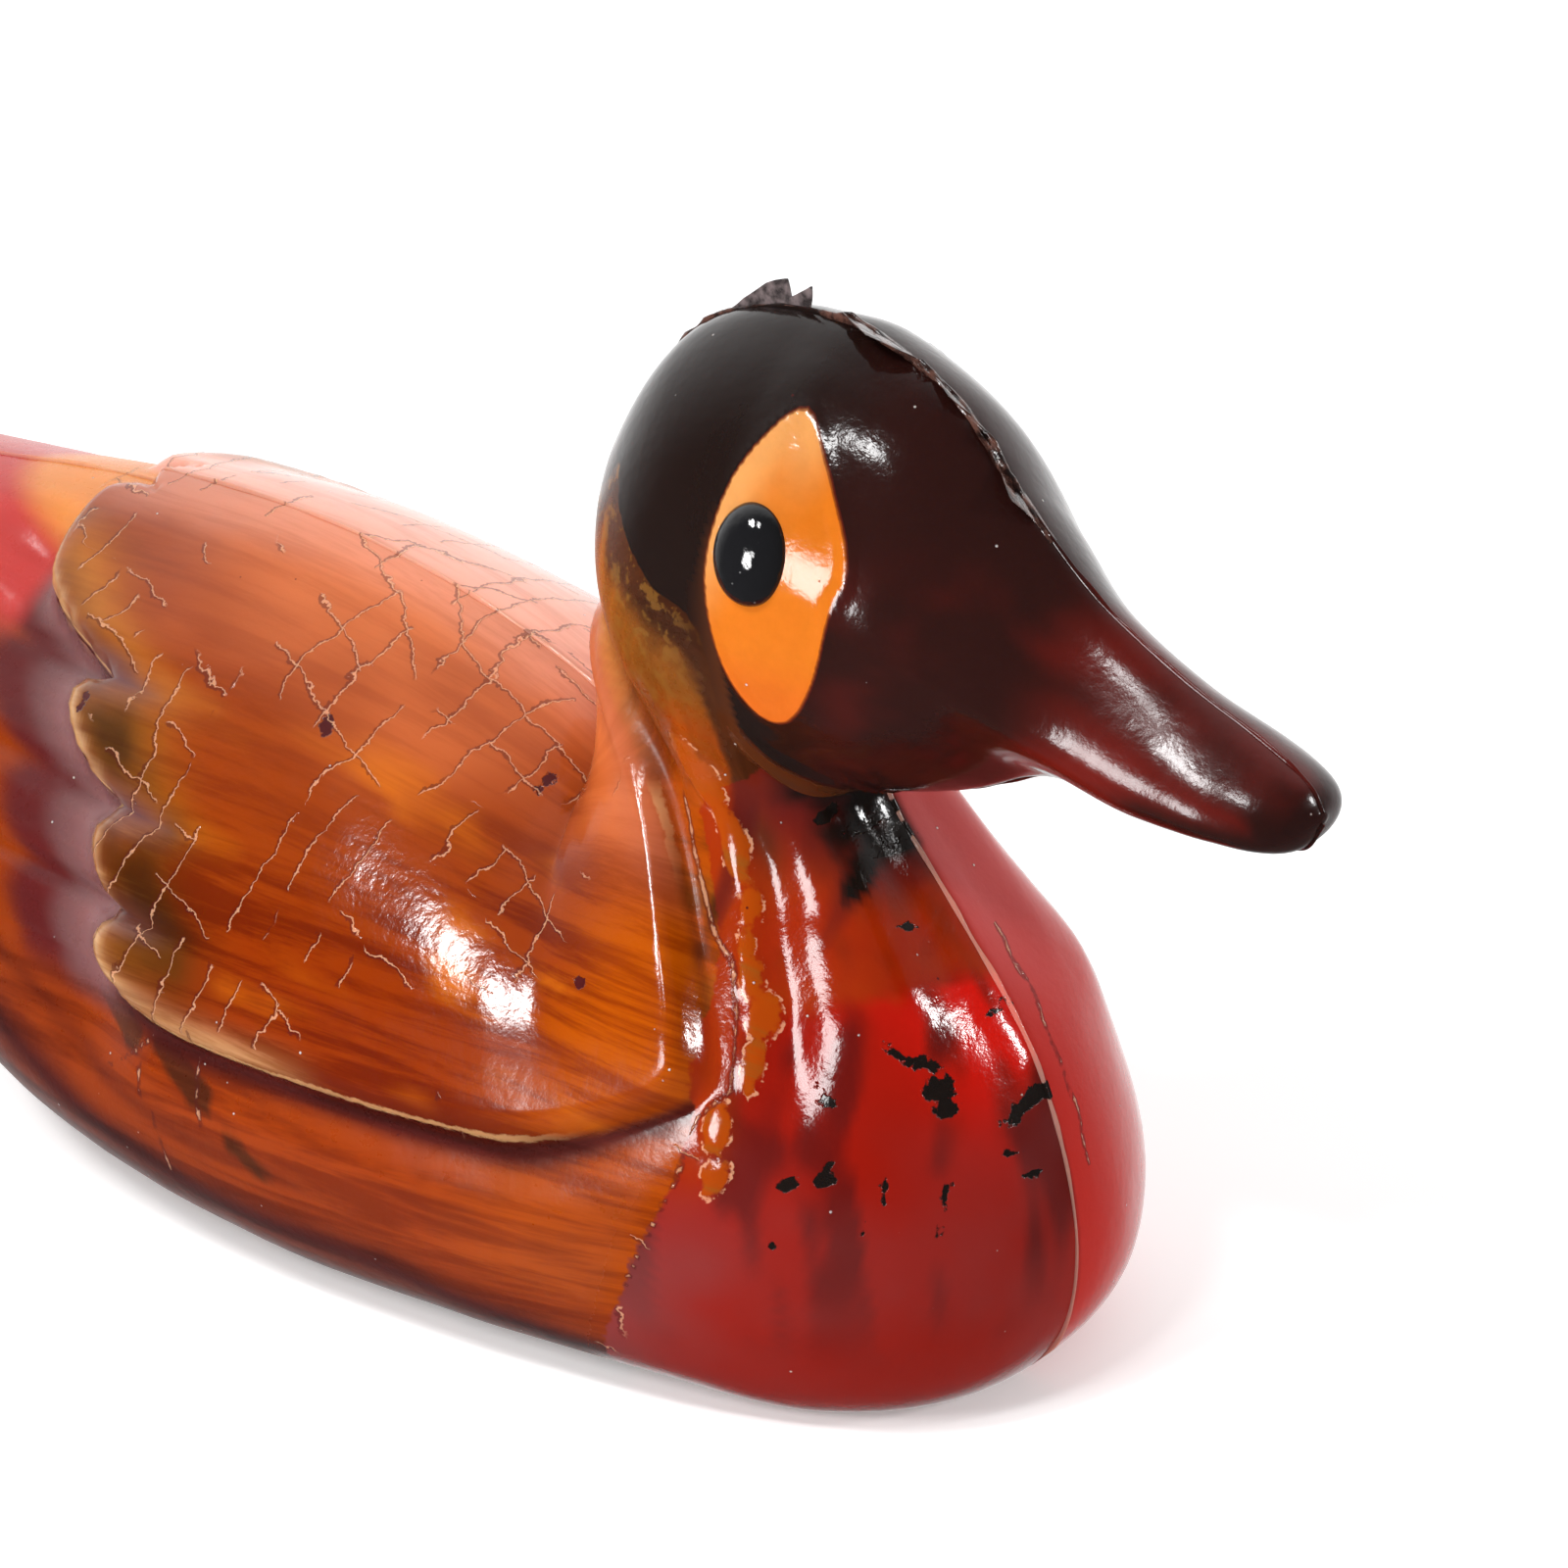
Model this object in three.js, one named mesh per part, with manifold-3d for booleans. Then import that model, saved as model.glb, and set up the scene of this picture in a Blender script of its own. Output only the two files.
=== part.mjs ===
// Mandarin duck sculpture: a small duck of solid, glossy resin that stands on its own flat base.
// Millimetres. +X runs to the bill, +Y to the duck's left and +Z up. The origin is on the base,
// under the middle of the duck's length.
import * as THREE from 'three';
import { mergeVertices } from 'three/addons/utils/BufferGeometryUtils.js';
import Module from 'manifold-3d';

// Overall size
const LENGTH = 120;
const NOSE_X = LENGTH / 2;
const TAIL_X = -LENGTH / 2;

// Sections from the tail to the bill. Each lies in the plane through its back point and its keel point,
// given as [x, z], and across the duck. The planes fan out round the nape, which sweeps the breast, and
// then round the throat, which sweeps the crown. half is the half width, level the height of the widest
// place as a part of the section's height, and low and high are the roundness below and above it: 2 is
// an ellipse, more is squarer and less is sharper. rings is the number of mesh rings from the section up
// to the next one.
const SECTIONS = [
  { back: [TAIL_X, 31.0], keel: [TAIL_X, 31.0], half: 0, level: 0.5, low: 2, high: 2, rings: 2 },
  { back: [-59.0, 32.6], keel: [-58.6, 29.4], half: 4.6, level: 0.5, low: 2.1, high: 2, rings: 2 },
  { back: [-53.0, 33.6], keel: [-52.5, 23.0], half: 9.2, level: 0.55, low: 2.2, high: 1.8, rings: 3 },
  { back: [-43.0, 35.2], keel: [-42.5, 11.5], half: 14.8, level: 0.48, low: 2.4, high: 1.7, rings: 5 },
  { back: [-32.0, 37.2], keel: [-31.0, 2.0], half: 20.0, level: 0.42, low: 2.5, high: 1.65, rings: 8 },
  { back: [-18.0, 38.3], keel: [-17.0, -1.2], half: 23.6, level: 0.38, low: 2.5, high: 1.62, rings: 6 },
  { back: [-6.0, 37.2], keel: [-3.0, -2.2], half: 24.4, level: 0.38, low: 2.5, high: 1.62, rings: 4 },
  { back: [4.0, 34.6], keel: [11.0, -2.2], half: 23.6, level: 0.4, low: 2.45, high: 1.65, rings: 5 },
  { back: [8.4, 32.5], keel: [24.0, -2.2], half: 21.8, level: 0.43, low: 2.35, high: 1.72, rings: 4 },
  { back: [9.8, 31.7], keel: [34.6, -1.9], half: 19.8, level: 0.45, low: 2.25, high: 1.8, rings: 2 },
  { back: [10.2, 32.3], keel: [41.4, 2.4], half: 17.6, level: 0.43, low: 2.2, high: 1.9, rings: 3 },
  { back: [10.2, 33.5], keel: [43.1, 10.3], half: 15.0, level: 0.42, low: 2.1, high: 1.9, rings: 3 },
  { back: [9.8, 35.5], keel: [40.4, 20.6], half: 11.2, level: 0.44, low: 2.1, high: 1.9, rings: 3 },
  { back: [9.3, 38.7], keel: [34.4, 28.7], half: 8.6, level: 0.46, low: 2.1, high: 1.9, rings: 2 },
  { back: [9.2, 42.7], keel: [29.8, 33.9], half: 8.6, level: 0.5, low: 2.1, high: 2, rings: 2 },
  { back: [9.4, 47.7], keel: [28.6, 36.2], half: 9.6, level: 0.52, low: 2.1, high: 2, rings: 3 },
  { back: [10.8, 54.8], keel: [29.8, 36.6], half: 10.5, level: 0.55, low: 2.1, high: 1.9, rings: 3 },
  { back: [15.4, 61.4], keel: [31.2, 36.9], half: 10.5, level: 0.55, low: 2.1, high: 1.8, rings: 3 },
  { back: [23.6, 64.2], keel: [33.4, 37.4], half: 9.9, level: 0.52, low: 2.1, high: 1.7, rings: 3 },
  { back: [32.6, 62.0], keel: [36.2, 38.5], half: 8.6, level: 0.48, low: 1.8, high: 1.65, rings: 3 },
  { back: [38.2, 56.8], keel: [39.8, 40.3], half: 6.8, level: 0.42, low: 1.4, high: 1.6, rings: 2 },
  { back: [43.8, 52.0], keel: [44.0, 41.2], half: 5.2, level: 0.37, low: 1.6, high: 1.5, rings: 2 },
  { back: [50.0, 48.9], keel: [49.5, 41.2], half: 4.7, level: 0.34, low: 2.2, high: 1.5, rings: 2 },
  { back: [55.3, 47.0], keel: [55.0, 41.5], half: 4.4, level: 0.34, low: 2.2, high: 1.6, rings: 2 },
  { back: [58.8, 45.4], keel: [58.6, 41.8], half: 3.1, level: 0.4, low: 2.2, high: 1.8, rings: 3 },
  { back: [NOSE_X, 43.8], keel: [NOSE_X, 43.8], half: 0, level: 0.5, low: 2, high: 2, rings: 0 },
];

// Points round half a ring, closer together at the wing's lower edge
const HALF_RING = 26;
const WING_EDGE_ANGLE = THREE.MathUtils.degToRad(102);
const EDGE_CROWDING = 0.55;

// Folded wing, in side view. Its lower edge is nearly level, its front edge leans back to the nape, and
// its rear edge steps up and back in rounded feather tips.
const WING = {
  lowestZ: 16.6,
  heelX: -5,
  heelRise: 1.4,
  shoulderX: 15,
  shoulderRise: 3.9,
  frontX: 27.3,
  frontZ: 22,
  frontLean: 11.5,
  rearX: -12,
  rearZ: 18,
  rearHeight: 19.5,
  rearSweep: 16,
  tips: 4,
  tipReach: 1.8,
  tipReachHigh: 8.5,
  blend: 1.2,
  raise: 1.0,
  shoulderWidth: 2.4,
  grooveDepth: 1.1,
  grooveWidth: 1.4,
  hollowDepth: 2.3,
  hollowWidth: 5.5,
  spineHalf: 3.2,
};

// Eye beads: a domed oval bead in a socket, its rim this far clear of the casting
const EYE = {
  at: [26.4, 9.4, 53.2],
  radii: [2.45, 1.6, 3.05],
  turn: THREE.MathUtils.degToRad(-5),
  lean: THREE.MathUtils.degToRad(15),
  clearance: 0.3,
  around: 16,
  down: 10,
};

// Colours and finish
const RESIN = { color: '#a8501a', roughness: 0.12, metalness: 0 };
const BEAD = { color: '#0b0a0a', roughness: 0.05, metalness: 0 };

const { clamp, lerp, smoothstep } = THREE.MathUtils;

// One named size of the sections, as a Catmull-Rom curve through them
function throughSections(read, place) {
  const last = SECTIONS.length - 1;
  const index = Math.min(Math.floor(place), last - 1);
  const f = place - index;
  const value = (k) => {
    if (k < 0) {
      return 2 * read(SECTIONS[0]) - read(SECTIONS[1]);
    }
    if (k > last) {
      return 2 * read(SECTIONS[last]) - read(SECTIONS[last - 1]);
    }
    return read(SECTIONS[k]);
  };
  const [a, b, c, d] = [index - 1, index, index + 1, index + 2].map(value);
  const bend = 2 * a - 5 * b + 4 * c - d;
  const twist = 3 * b - a - 3 * c + d;
  return 0.5 * (2 * b + (c - a) * f + bend * f * f + twist * f * f * f);
}

// The section at a place along the duck
function sectionAt(place) {
  return {
    back: [throughSections((s) => s.back[0], place), throughSections((s) => s.back[1], place)],
    keel: [throughSections((s) => s.keel[0], place), throughSections((s) => s.keel[1], place)],
    half: Math.max(throughSections((s) => s.half, place), 0),
    level: throughSections((s) => s.level, place),
    low: throughSections((s) => s.low, place),
    high: throughSections((s) => s.high, place),
  };
}

// A point of the smooth body: angle 0 is the keel, pi the back, and beyond pi is the right side
function bodyPoint(section, angle) {
  const side = angle > Math.PI ? -1 : 1;
  const turn = side > 0 ? angle : 2 * Math.PI - angle;
  const below = turn < Math.PI / 2;
  const power = 2 / (below ? section.low : section.high);
  const rise = Math.abs(Math.cos(turn)) ** power;
  const spread = Math.abs(Math.sin(turn)) ** power;
  const height = below ? section.level * (1 - rise) : section.level + (1 - section.level) * rise;
  return new THREE.Vector3(
    lerp(section.keel[0], section.back[0], height),
    side * section.half * spread,
    lerp(section.keel[1], section.back[1], height),
  );
}

// The smaller of two distances, rounded where they are nearly equal
function roundedMin(a, b, radius) {
  const h = Math.max(radius - Math.abs(a - b), 0) / radius;
  return Math.min(a, b) - h * h * radius * 0.25;
}

// Distance inside the wing's outline in side view, below zero outside
function insideWing(x, z) {
  const up = Math.max((z - WING.rearZ) / WING.rearHeight, 0);
  const tipWave = Math.abs(Math.sin(Math.PI * WING.tips * up ** 0.85)) ** 0.6;
  const tipReach = (WING.tipReach + WING.tipReachHigh * up * up) * tipWave;
  const rear = (x - (WING.rearX - WING.rearSweep * up * up - tipReach)) * 0.8;
  const heel = WING.heelRise * (Math.max(WING.heelX - x, 0) / 7) ** 2;
  const shoulder = WING.shoulderRise * (Math.max(x - WING.shoulderX, 0) / 12) ** 2;
  const lower = z - (WING.lowestZ + heel + shoulder);
  const lean = WING.frontLean * (Math.max(z - WING.frontZ, 0) / 15) ** 1.25;
  const front = (WING.frontX - lean - x) * 0.8;
  return roundedMin(roundedMin(rear, lower, WING.blend), front, WING.blend);
}

// How far the wing stands out of the body, and the groove below it and hollow behind it stand in
function wingRelief(point) {
  const inside = insideWing(point.x, point.z);
  const offSpine = smoothstep(Math.abs(point.y), WING.spineHalf, WING.spineHalf + 4);
  const raise = WING.raise * smoothstep(inside, -0.4, WING.shoulderWidth);
  const outside = Math.max(-inside, 0);
  const behind = smoothstep(WING.rearX + 4 - point.x, 0, 8);
  const ahead = smoothstep(point.x, WING.shoulderX, WING.frontX);
  const width = lerp(WING.grooveWidth, WING.hollowWidth, behind);
  const depth = lerp(WING.grooveDepth, WING.hollowDepth, behind) * (1 - ahead);
  const away = outside / width;
  const low = smoothstep(point.z, 8, 15);
  return raise - depth * away * Math.exp(1 - away) * offSpine * low;
}

// Places round a ring, closer together where the wing's lower edge runs
function ringAngles() {
  const angles = [];
  for (let k = 0; k <= HALF_RING; k += 1) {
    const even = (Math.PI * k) / HALF_RING;
    const off = even - WING_EDGE_ANGLE;
    angles.push(clamp(even - EDGE_CROWDING * off * Math.exp(-off * off * 2.5), 0, Math.PI));
  }
  const right = angles.slice(1, -1).reverse().map((angle) => 2 * Math.PI - angle);
  return [...angles, ...right];
}

// Places of the rings along the duck, as section numbers with a fraction, without the two tips
function ringPlaces() {
  const places = SECTIONS.flatMap(({ rings }, k) => Array.from({ length: rings }, (_, r) => k + r / rings));
  return places.slice(1);
}

// The closed surface through all rings, with the tail's and the bill's tips as single points
function castingGeometry() {
  const angles = ringAngles();
  const places = ringPlaces();
  const rings = places.length;
  const positions = [];
  const tip = (section) => positions.push(section.back[0], 0, section.back[1]);
  tip(SECTIONS[0]);
  for (const place of places) {
    const section = sectionAt(place);
    for (const angle of angles) {
      const point = bodyPoint(section, angle);
      positions.push(point.x, point.y, point.z);
    }
  }
  tip(SECTIONS[SECTIONS.length - 1]);

  const triangles = [];
  const count = angles.length;
  const vertex = (ring, k) => 1 + (ring - 1) * count + (k % count);
  const noseTip = 1 + rings * count;
  for (let k = 0; k < count; k += 1) {
    triangles.push(0, vertex(1, k + 1), vertex(1, k));
    triangles.push(noseTip, vertex(rings, k), vertex(rings, k + 1));
    for (let r = 1; r < rings; r += 1) {
      const [a, b, c, d] = [vertex(r, k), vertex(r, k + 1), vertex(r + 1, k + 1), vertex(r + 1, k)];
      triangles.push(a, b, c, a, c, d);
    }
  }
  const geometry = new THREE.BufferGeometry();
  geometry.setAttribute('position', new THREE.Float32BufferAttribute(positions, 3));
  geometry.setIndex(triangles);
  carve(geometry);
  return geometry;
}

// Moves each point along the surface's normal by the relief, and cuts the base flat
function carve(geometry) {
  geometry.computeVertexNormals();
  const position = geometry.getAttribute('position');
  const normal = geometry.getAttribute('normal');
  const point = new THREE.Vector3();
  const outward = new THREE.Vector3();
  for (let i = 0; i < position.count; i += 1) {
    point.fromBufferAttribute(position, i);
    outward.fromBufferAttribute(normal, i);
    point.addScaledVector(outward, wingRelief(point));
    position.setXYZ(i, point.x, point.y, Math.max(point.z, 0));
  }
}

// An oval bead, or its socket when grown by the clearance, on one side of the head
function beadGeometry(side, grow) {
  const geometry = new THREE.SphereGeometry(1, EYE.around, EYE.down);
  geometry.scale(EYE.radii[0] + grow, EYE.radii[1] + grow, EYE.radii[2] + grow);
  geometry.rotateX(side * EYE.lean);
  geometry.rotateZ(side * EYE.turn);
  geometry.translate(EYE.at[0], side * EYE.at[1], EYE.at[2]);
  return geometry;
}

// Solids for the socket cuts
const wasm = await Module();
wasm.setup();

function toSolid(geometry) {
  const bare = geometry.clone();
  bare.deleteAttribute('normal');
  bare.deleteAttribute('uv');
  const merged = mergeVertices(bare, 1e-4);
  const mesh = new wasm.Mesh({
    numProp: 3,
    vertProperties: new Float32Array(merged.getAttribute('position').array),
    triVerts: new Uint32Array(merged.getIndex().array),
  });
  return new wasm.Manifold(mesh);
}

function fromSolid(solid) {
  const mesh = solid.getMesh();
  const geometry = new THREE.BufferGeometry();
  geometry.setAttribute('position', new THREE.BufferAttribute(mesh.vertProperties, 3));
  geometry.setIndex(new THREE.BufferAttribute(mesh.triVerts, 1));
  geometry.computeVertexNormals();
  return geometry;
}

// The duck in one casting: body, wings, tail, neck, head and bill, with a socket for each eye
function duckCasting() {
  let solid = toSolid(castingGeometry());
  for (const side of [1, -1]) {
    solid = solid.subtract(toSolid(beadGeometry(side, EYE.clearance)));
  }
  const mesh = new THREE.Mesh(fromSolid(solid), new THREE.MeshStandardMaterial(RESIN));
  mesh.name = 'duck_casting';
  return mesh;
}

// One eye: a black domed bead
function eyeBead(name, side) {
  const mesh = new THREE.Mesh(beadGeometry(side, 0), new THREE.MeshStandardMaterial(BEAD));
  mesh.name = name;
  return mesh;
}

const duck = new THREE.Group();
duck.add(duckCasting());
duck.add(eyeBead('left_eye_bead', 1));
duck.add(eyeBead('right_eye_bead', -1));

export default duck;
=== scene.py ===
"""Mandarin duck sculpture in glossy cast resin.

The shape is worked out in millimetres and put into Blender in metres. +X runs to the bill, +Y to the
duck's left and +Z up. The duck stands on its flat base with the origin under its middle.
"""
from types import SimpleNamespace

import bpy
import numpy as np
from mathutils import Matrix, Vector


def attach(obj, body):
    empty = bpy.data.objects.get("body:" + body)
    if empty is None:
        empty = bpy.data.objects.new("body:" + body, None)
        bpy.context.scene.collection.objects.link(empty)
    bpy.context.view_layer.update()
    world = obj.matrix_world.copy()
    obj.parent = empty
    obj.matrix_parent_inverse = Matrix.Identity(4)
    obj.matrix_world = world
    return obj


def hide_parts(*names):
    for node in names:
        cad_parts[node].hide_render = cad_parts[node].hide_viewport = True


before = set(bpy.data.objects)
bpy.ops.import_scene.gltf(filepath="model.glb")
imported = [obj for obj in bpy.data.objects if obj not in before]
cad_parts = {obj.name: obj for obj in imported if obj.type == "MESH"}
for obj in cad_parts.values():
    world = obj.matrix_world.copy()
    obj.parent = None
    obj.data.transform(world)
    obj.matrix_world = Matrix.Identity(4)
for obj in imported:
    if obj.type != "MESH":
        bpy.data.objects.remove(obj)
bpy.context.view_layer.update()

bl_info = {
    "name": "Mandarin duck sculpture",
    "version": (1, 0, 0),
    "blender": (4, 5, 0),
    "location": "View3D > Sidebar > Duck",
    "description": "A duck of streaked amber, red and black resin, with its bead eyes and mould flash",
    "category": "Add Mesh",
}

MM = 0.001
BODY = "root"

# Sections from the tail to the bill, each in the plane through its back point and its keel point:
# back x, back z, keel x, keel z, half width, level of the widest place, roundness below and above it,
# and how many rings the solid has from the section to the next
SECTIONS = np.array([
    (-60.0, 31.0, -60.0, 31.0, 0.0, 0.50, 2.00, 2.00, 2),
    (-59.0, 32.6, -58.6, 29.4, 4.6, 0.50, 2.10, 2.00, 2),
    (-53.0, 33.6, -52.5, 23.0, 9.2, 0.55, 2.20, 1.80, 3),
    (-43.0, 35.2, -42.5, 11.5, 14.8, 0.48, 2.40, 1.70, 5),
    (-32.0, 37.2, -31.0, 2.0, 20.0, 0.42, 2.50, 1.65, 8),
    (-18.0, 38.3, -17.0, -1.2, 23.6, 0.38, 2.50, 1.62, 6),
    (-6.0, 37.2, -3.0, -2.2, 24.4, 0.38, 2.50, 1.62, 4),
    (4.0, 34.6, 11.0, -2.2, 23.6, 0.40, 2.45, 1.65, 5),
    (8.4, 32.5, 24.0, -2.2, 21.8, 0.43, 2.35, 1.72, 4),
    (9.8, 31.7, 34.6, -1.9, 19.8, 0.45, 2.25, 1.80, 2),
    (10.2, 32.3, 41.4, 2.4, 17.6, 0.43, 2.20, 1.90, 3),
    (10.2, 33.5, 43.1, 10.3, 15.0, 0.42, 2.10, 1.90, 3),
    (9.8, 35.5, 40.4, 20.6, 11.2, 0.44, 2.10, 1.90, 3),
    (9.3, 38.7, 34.4, 28.7, 8.6, 0.46, 2.10, 1.90, 2),
    (9.2, 42.7, 29.8, 33.9, 8.6, 0.50, 2.10, 2.00, 2),
    (9.4, 47.7, 28.6, 36.2, 9.6, 0.52, 2.10, 2.00, 3),
    (10.8, 54.8, 29.8, 36.6, 10.5, 0.55, 2.10, 1.90, 3),
    (15.4, 61.4, 31.2, 36.9, 10.5, 0.55, 2.10, 1.80, 3),
    (23.6, 64.2, 33.4, 37.4, 9.9, 0.52, 2.10, 1.70, 3),
    (32.6, 62.0, 36.2, 38.5, 8.6, 0.48, 1.80, 1.65, 3),
    (38.2, 56.8, 39.8, 40.3, 6.8, 0.42, 1.40, 1.60, 2),
    (43.8, 52.0, 44.0, 41.2, 5.2, 0.37, 1.60, 1.50, 2),
    (50.0, 48.9, 49.5, 41.2, 4.7, 0.34, 2.20, 1.50, 2),
    (55.3, 47.0, 55.0, 41.5, 4.4, 0.34, 2.20, 1.60, 2),
    (58.8, 45.4, 58.6, 41.8, 3.1, 0.40, 2.20, 1.80, 3),
    (60.0, 43.8, 60.0, 43.8, 0.0, 0.50, 2.00, 2.00, 0),
])
# Where the wing's lower edge runs round a ring, and how far the ring's points crowd there
WING_EDGE_ANGLE = np.radians(102)
EDGE_CROWDING = 0.55

# Fineness of the skin: rings along the duck and points round half a ring. Then that of a bead, of the
# seams and the flash, and of the fins and flakes
SKIN_RINGS = 440
SKIN_HALF_RING = 112
BEAD_RINGS = 40
BEAD_RING = 56
RIDGE_RING = 10
BLADE_RINGS = 9
BLADE_RING = 24

# The folded wing in side view: its foot, the height of its rear edge, its feather tips and its edges
WING_FOOT = 18
WING_RISE = 19.5
WING_TIPS = 4
WING_REAR = -12
WING_SWEEP = 16
WING_LOWER = 16.6
WING_FRONT = 27.3

# How far inside or outside an edge and an oval the distance is worked out, and one that hides a crack
FAR = 20
OVAL_FAR = 5
HIDDEN = 9

# Soft noise: how many random numbers it draws, and for each axis the large factor that picks among them
NOISE_NUMBERS = 4096
NOISE_FACTORS = (73856093, 19349663, 83492791)

# Outlines of the coloured areas in side view, as x and z of a few points
EYE_PATCH = (
    (27.0, 61.0), (29.5, 58.8), (32.0, 55.2), (32.6, 53.0), (32.2, 51.8), (31.0, 46.9), (29.1, 43.6),
    (27.2, 42.9), (25.2, 45.0), (24.0, 48.3), (23.6, 51.9), (24.0, 56.3), (25.1, 59.1),
)
HEAD_EDGE = (
    (5.0, 50.2), (9.4, 51.0), (13.0, 52.4), (14.6, 54.8), (15.8, 52.8), (17.8, 50.9), (19.8, 49.4),
    (22.0, 48.7), (23.3, 47.4), (23.9, 43.6), (24.7, 39.4), (26.3, 37.8), (28.1, 36.6), (30.0, 35.4),
    (31.0, 33.8), (33.0, 34.6), (36.0, 33.0), (62.0, 30.0),
)
BREAST_EDGE = (
    (22.0, 0.0), (22.3, 2.7), (24.9, 8.3), (26.0, 12.3), (27.2, 15.5), (27.4, 19.0), (26.8, 21.0),
    (26.4, 23.3), (25.8, 25.6), (25.2, 28.0), (24.0, 30.1), (22.3, 32.5), (21.2, 34.5), (21.6, 36.0),
    (24.4, 37.2), (26.5, 40.0), (28.0, 64.0),
)
# Gold resin that ran down the red of the neck: x, z, half length, half height and slant in degrees
LOBES = (
    (21.2, 37.2, 2.8, 1.1, -55.0), (23.9, 33.4, 2.8, 0.85, -60.0), (26.0, 30.4, 1.5, 0.65, -68.0),
    (26.6, 28.5, 1.0, 0.55, -68.0), (27.5, 27.2, 1.2, 0.75, -60.0), (29.0, 25.3, 1.4, 0.95, -60.0),
    (29.5, 22.8, 1.7, 0.65, -80.0), (28.8, 19.4, 1.6, 0.85, -75.0), (29.5, 16.8, 1.3, 0.8, 80.0),
)
# Chips on the right side, black in the breast and maroon on the wing, as the lobes are given
CHIPS = (
    (35.4, 23.9, 1.1, 0.16, -32.0), (36.9, 23.0, 0.8, 0.24, -28.0), (38.2, 21.5, 0.8, 0.42, -50.0),
    (38.8, 20.4, 0.5, 0.45, -80.0), (35.1, 17.2, 0.5, 0.42, 0.0), (33.3, 16.9, 0.65, 0.36, 10.0),
    (34.9, 17.9, 0.3, 0.2, 40.0), (33.9, 21.2, 0.6, 0.25, -15.0), (33.0, 22.0, 0.4, 0.16, -40.0),
    (37.9, 24.6, 0.16, 0.5, 0.0), (40.8, 19.6, 0.22, 0.8, 0.0), (42.0, 15.6, 0.16, 0.2, 0.0),
    (33.3, 29.3, 0.35, 0.2, 0.0), (33.4, 13.4, 0.2, 0.15, 0.0), (37.6, 16.6, 0.14, 0.6, 10.0),
    (37.2, 14.4, 0.12, 0.5, -6.0), (39.9, 16.0, 0.13, 0.9, 8.0), (40.2, 13.6, 0.11, 0.7, 4.0),
    (41.2, 17.2, 0.2, 0.14, 0.0), (30.3, 33.4, 0.22, 0.6, 10.0), (29.4, 34.6, 0.25, 0.7, -5.0),
    (27.9, 35.2, 0.3, 0.5, 0.0), (-4.6, 32.5, 0.6, 0.35, -30.0), (8.3, 31.2, 0.4, 0.22, -20.0),
    (18.4, 24.5, 0.45, 0.3, -30.0), (-14.0, 27.0, 0.4, 0.22, -40.0), (-20.6, 30.2, 0.45, 0.4, 0.0),
)
# In the side below the wing, a dark stripe as x and z, and brown blocks as the x and z of their ends and
# their half width
STRIPE = (
    (-45, 19), (-22, 11.2), (-13, 7.9), (-5, 6.4), (2, 6.1), (9, 5.6), (15, 4.4), (22, 3.2), (30, 2.5),
)
BLOCKS = ((-14.2, 17.2, -11.0, 15.0, 1.2), (-8.2, 15.4, -4.3, 13.2, 1.0), (-1.6, 11.2, 0.8, 10.0, 0.8))
# Long cracks as x and z of their corners, and the spacing of the two families of short ones
LONG_CRACKS = (
    ((-12.8, 12.1), (-10.3, 14.1), (-7.9, 17.2)), ((-5.0, 17.2), (-5.2, 14.8), (-3.9, 11.2)),
    ((-9.6, 14.0), (-9.0, 11.4)), ((-8.0, 11.0), (-7.2, 6.0)),
    ((19.4, 35.0), (21.2, 32.5), (24.6, 28.7), (26.3, 27.5), (27.9, 24.3), (28.9, 21.4), (27.5, 19.7),
     (27.3, 15.8), (25.4, 9.6)),
)
CRACK_SPACINGS = (2.9, 3.5)
# How far round the body from its ridge their coordinates start
CRACK_START = 34
# Rear flank of the neck's column, between its ridge and the valley beside the wing, as x and z
NECK_FLANK = (
    (34.6, 17.0), (33.6, 22.0), (31.7, 26.4), (29.7, 29.4), (28.1, 32.8), (25.6, 36.5), (23.4, 40.5),
)
# The streaks run round a line along the duck at this height, and are measured at this distance from it
GRAIN_AXIS = 12
GRAIN_RADIUS = 22

# Parting seams: name, column of the skin's points, its first ring, and 1 on the back or -1 below
SEAMS = (("back_seam", SKIN_HALF_RING, 30, 1), ("breast_seam", 0, 150, -1))
SEAM_TINT = 0.35

# How far seams, flash and fins are sunk into the skin
SEAM_FOOT = 0.25
BLADE_FOOT = 0.3

# Torn flash along the crown: its stretch, and its heights as x and height. Then fins and flakes as x,
# length, height, forward lean, side lean and bluntness
CROWN_REAR = 11.5
CROWN_FRONT = 41.0
CROWN_LOWEST = 50.0
FLASH_HEIGHTS = (
    (9.5, 0.05), (10.8, 0.3), (13.5, 0.4), (16.5, 0.3), (18.0, 0.2), (23.4, 0.3), (24.0, 1.3),
    (26.0, 1.0), (29.0, 0.9), (30.0, 0.6), (31.2, 1.2), (32.6, 0.5), (34.6, 0.35), (35.6, 1.2),
    (37.8, 1.1), (38.6, 0.5), (41.0, 0.2),
)
FINS = (
    (18.6, 5.2, 1.7, 2.9, 0.10, 1.3), (21.2, 2.6, 1.5, 2.0, -0.15, 1.3), (19.6, 3.4, 1.0, 1.6, 0.30, 1.3),
)
FLAKES = (
    (28.0, 5.6, 1.2, 0.5, -2.1, 5.0), (33.4, 3.4, 0.7, 0.4, -1.2, 4.0), (35.6, 2.2, 0.6, 0.3, -0.7, 3.0),
    (38.0, 4.2, 0.9, 0.6, -1.8, 4.0),
)

# Eye beads: middle of the left one, radii, and how far they turn about Z and lean about X
EYE_PLACE = (26.4, 9.4, 53.2)
EYE_RADII = (2.45, 1.6, 3.05)
EYE_TURN = np.radians(-5)
EYE_LEAN = np.radians(15)

# How strongly resin and beads bend light
RESIN_IOR = 1.5

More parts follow.
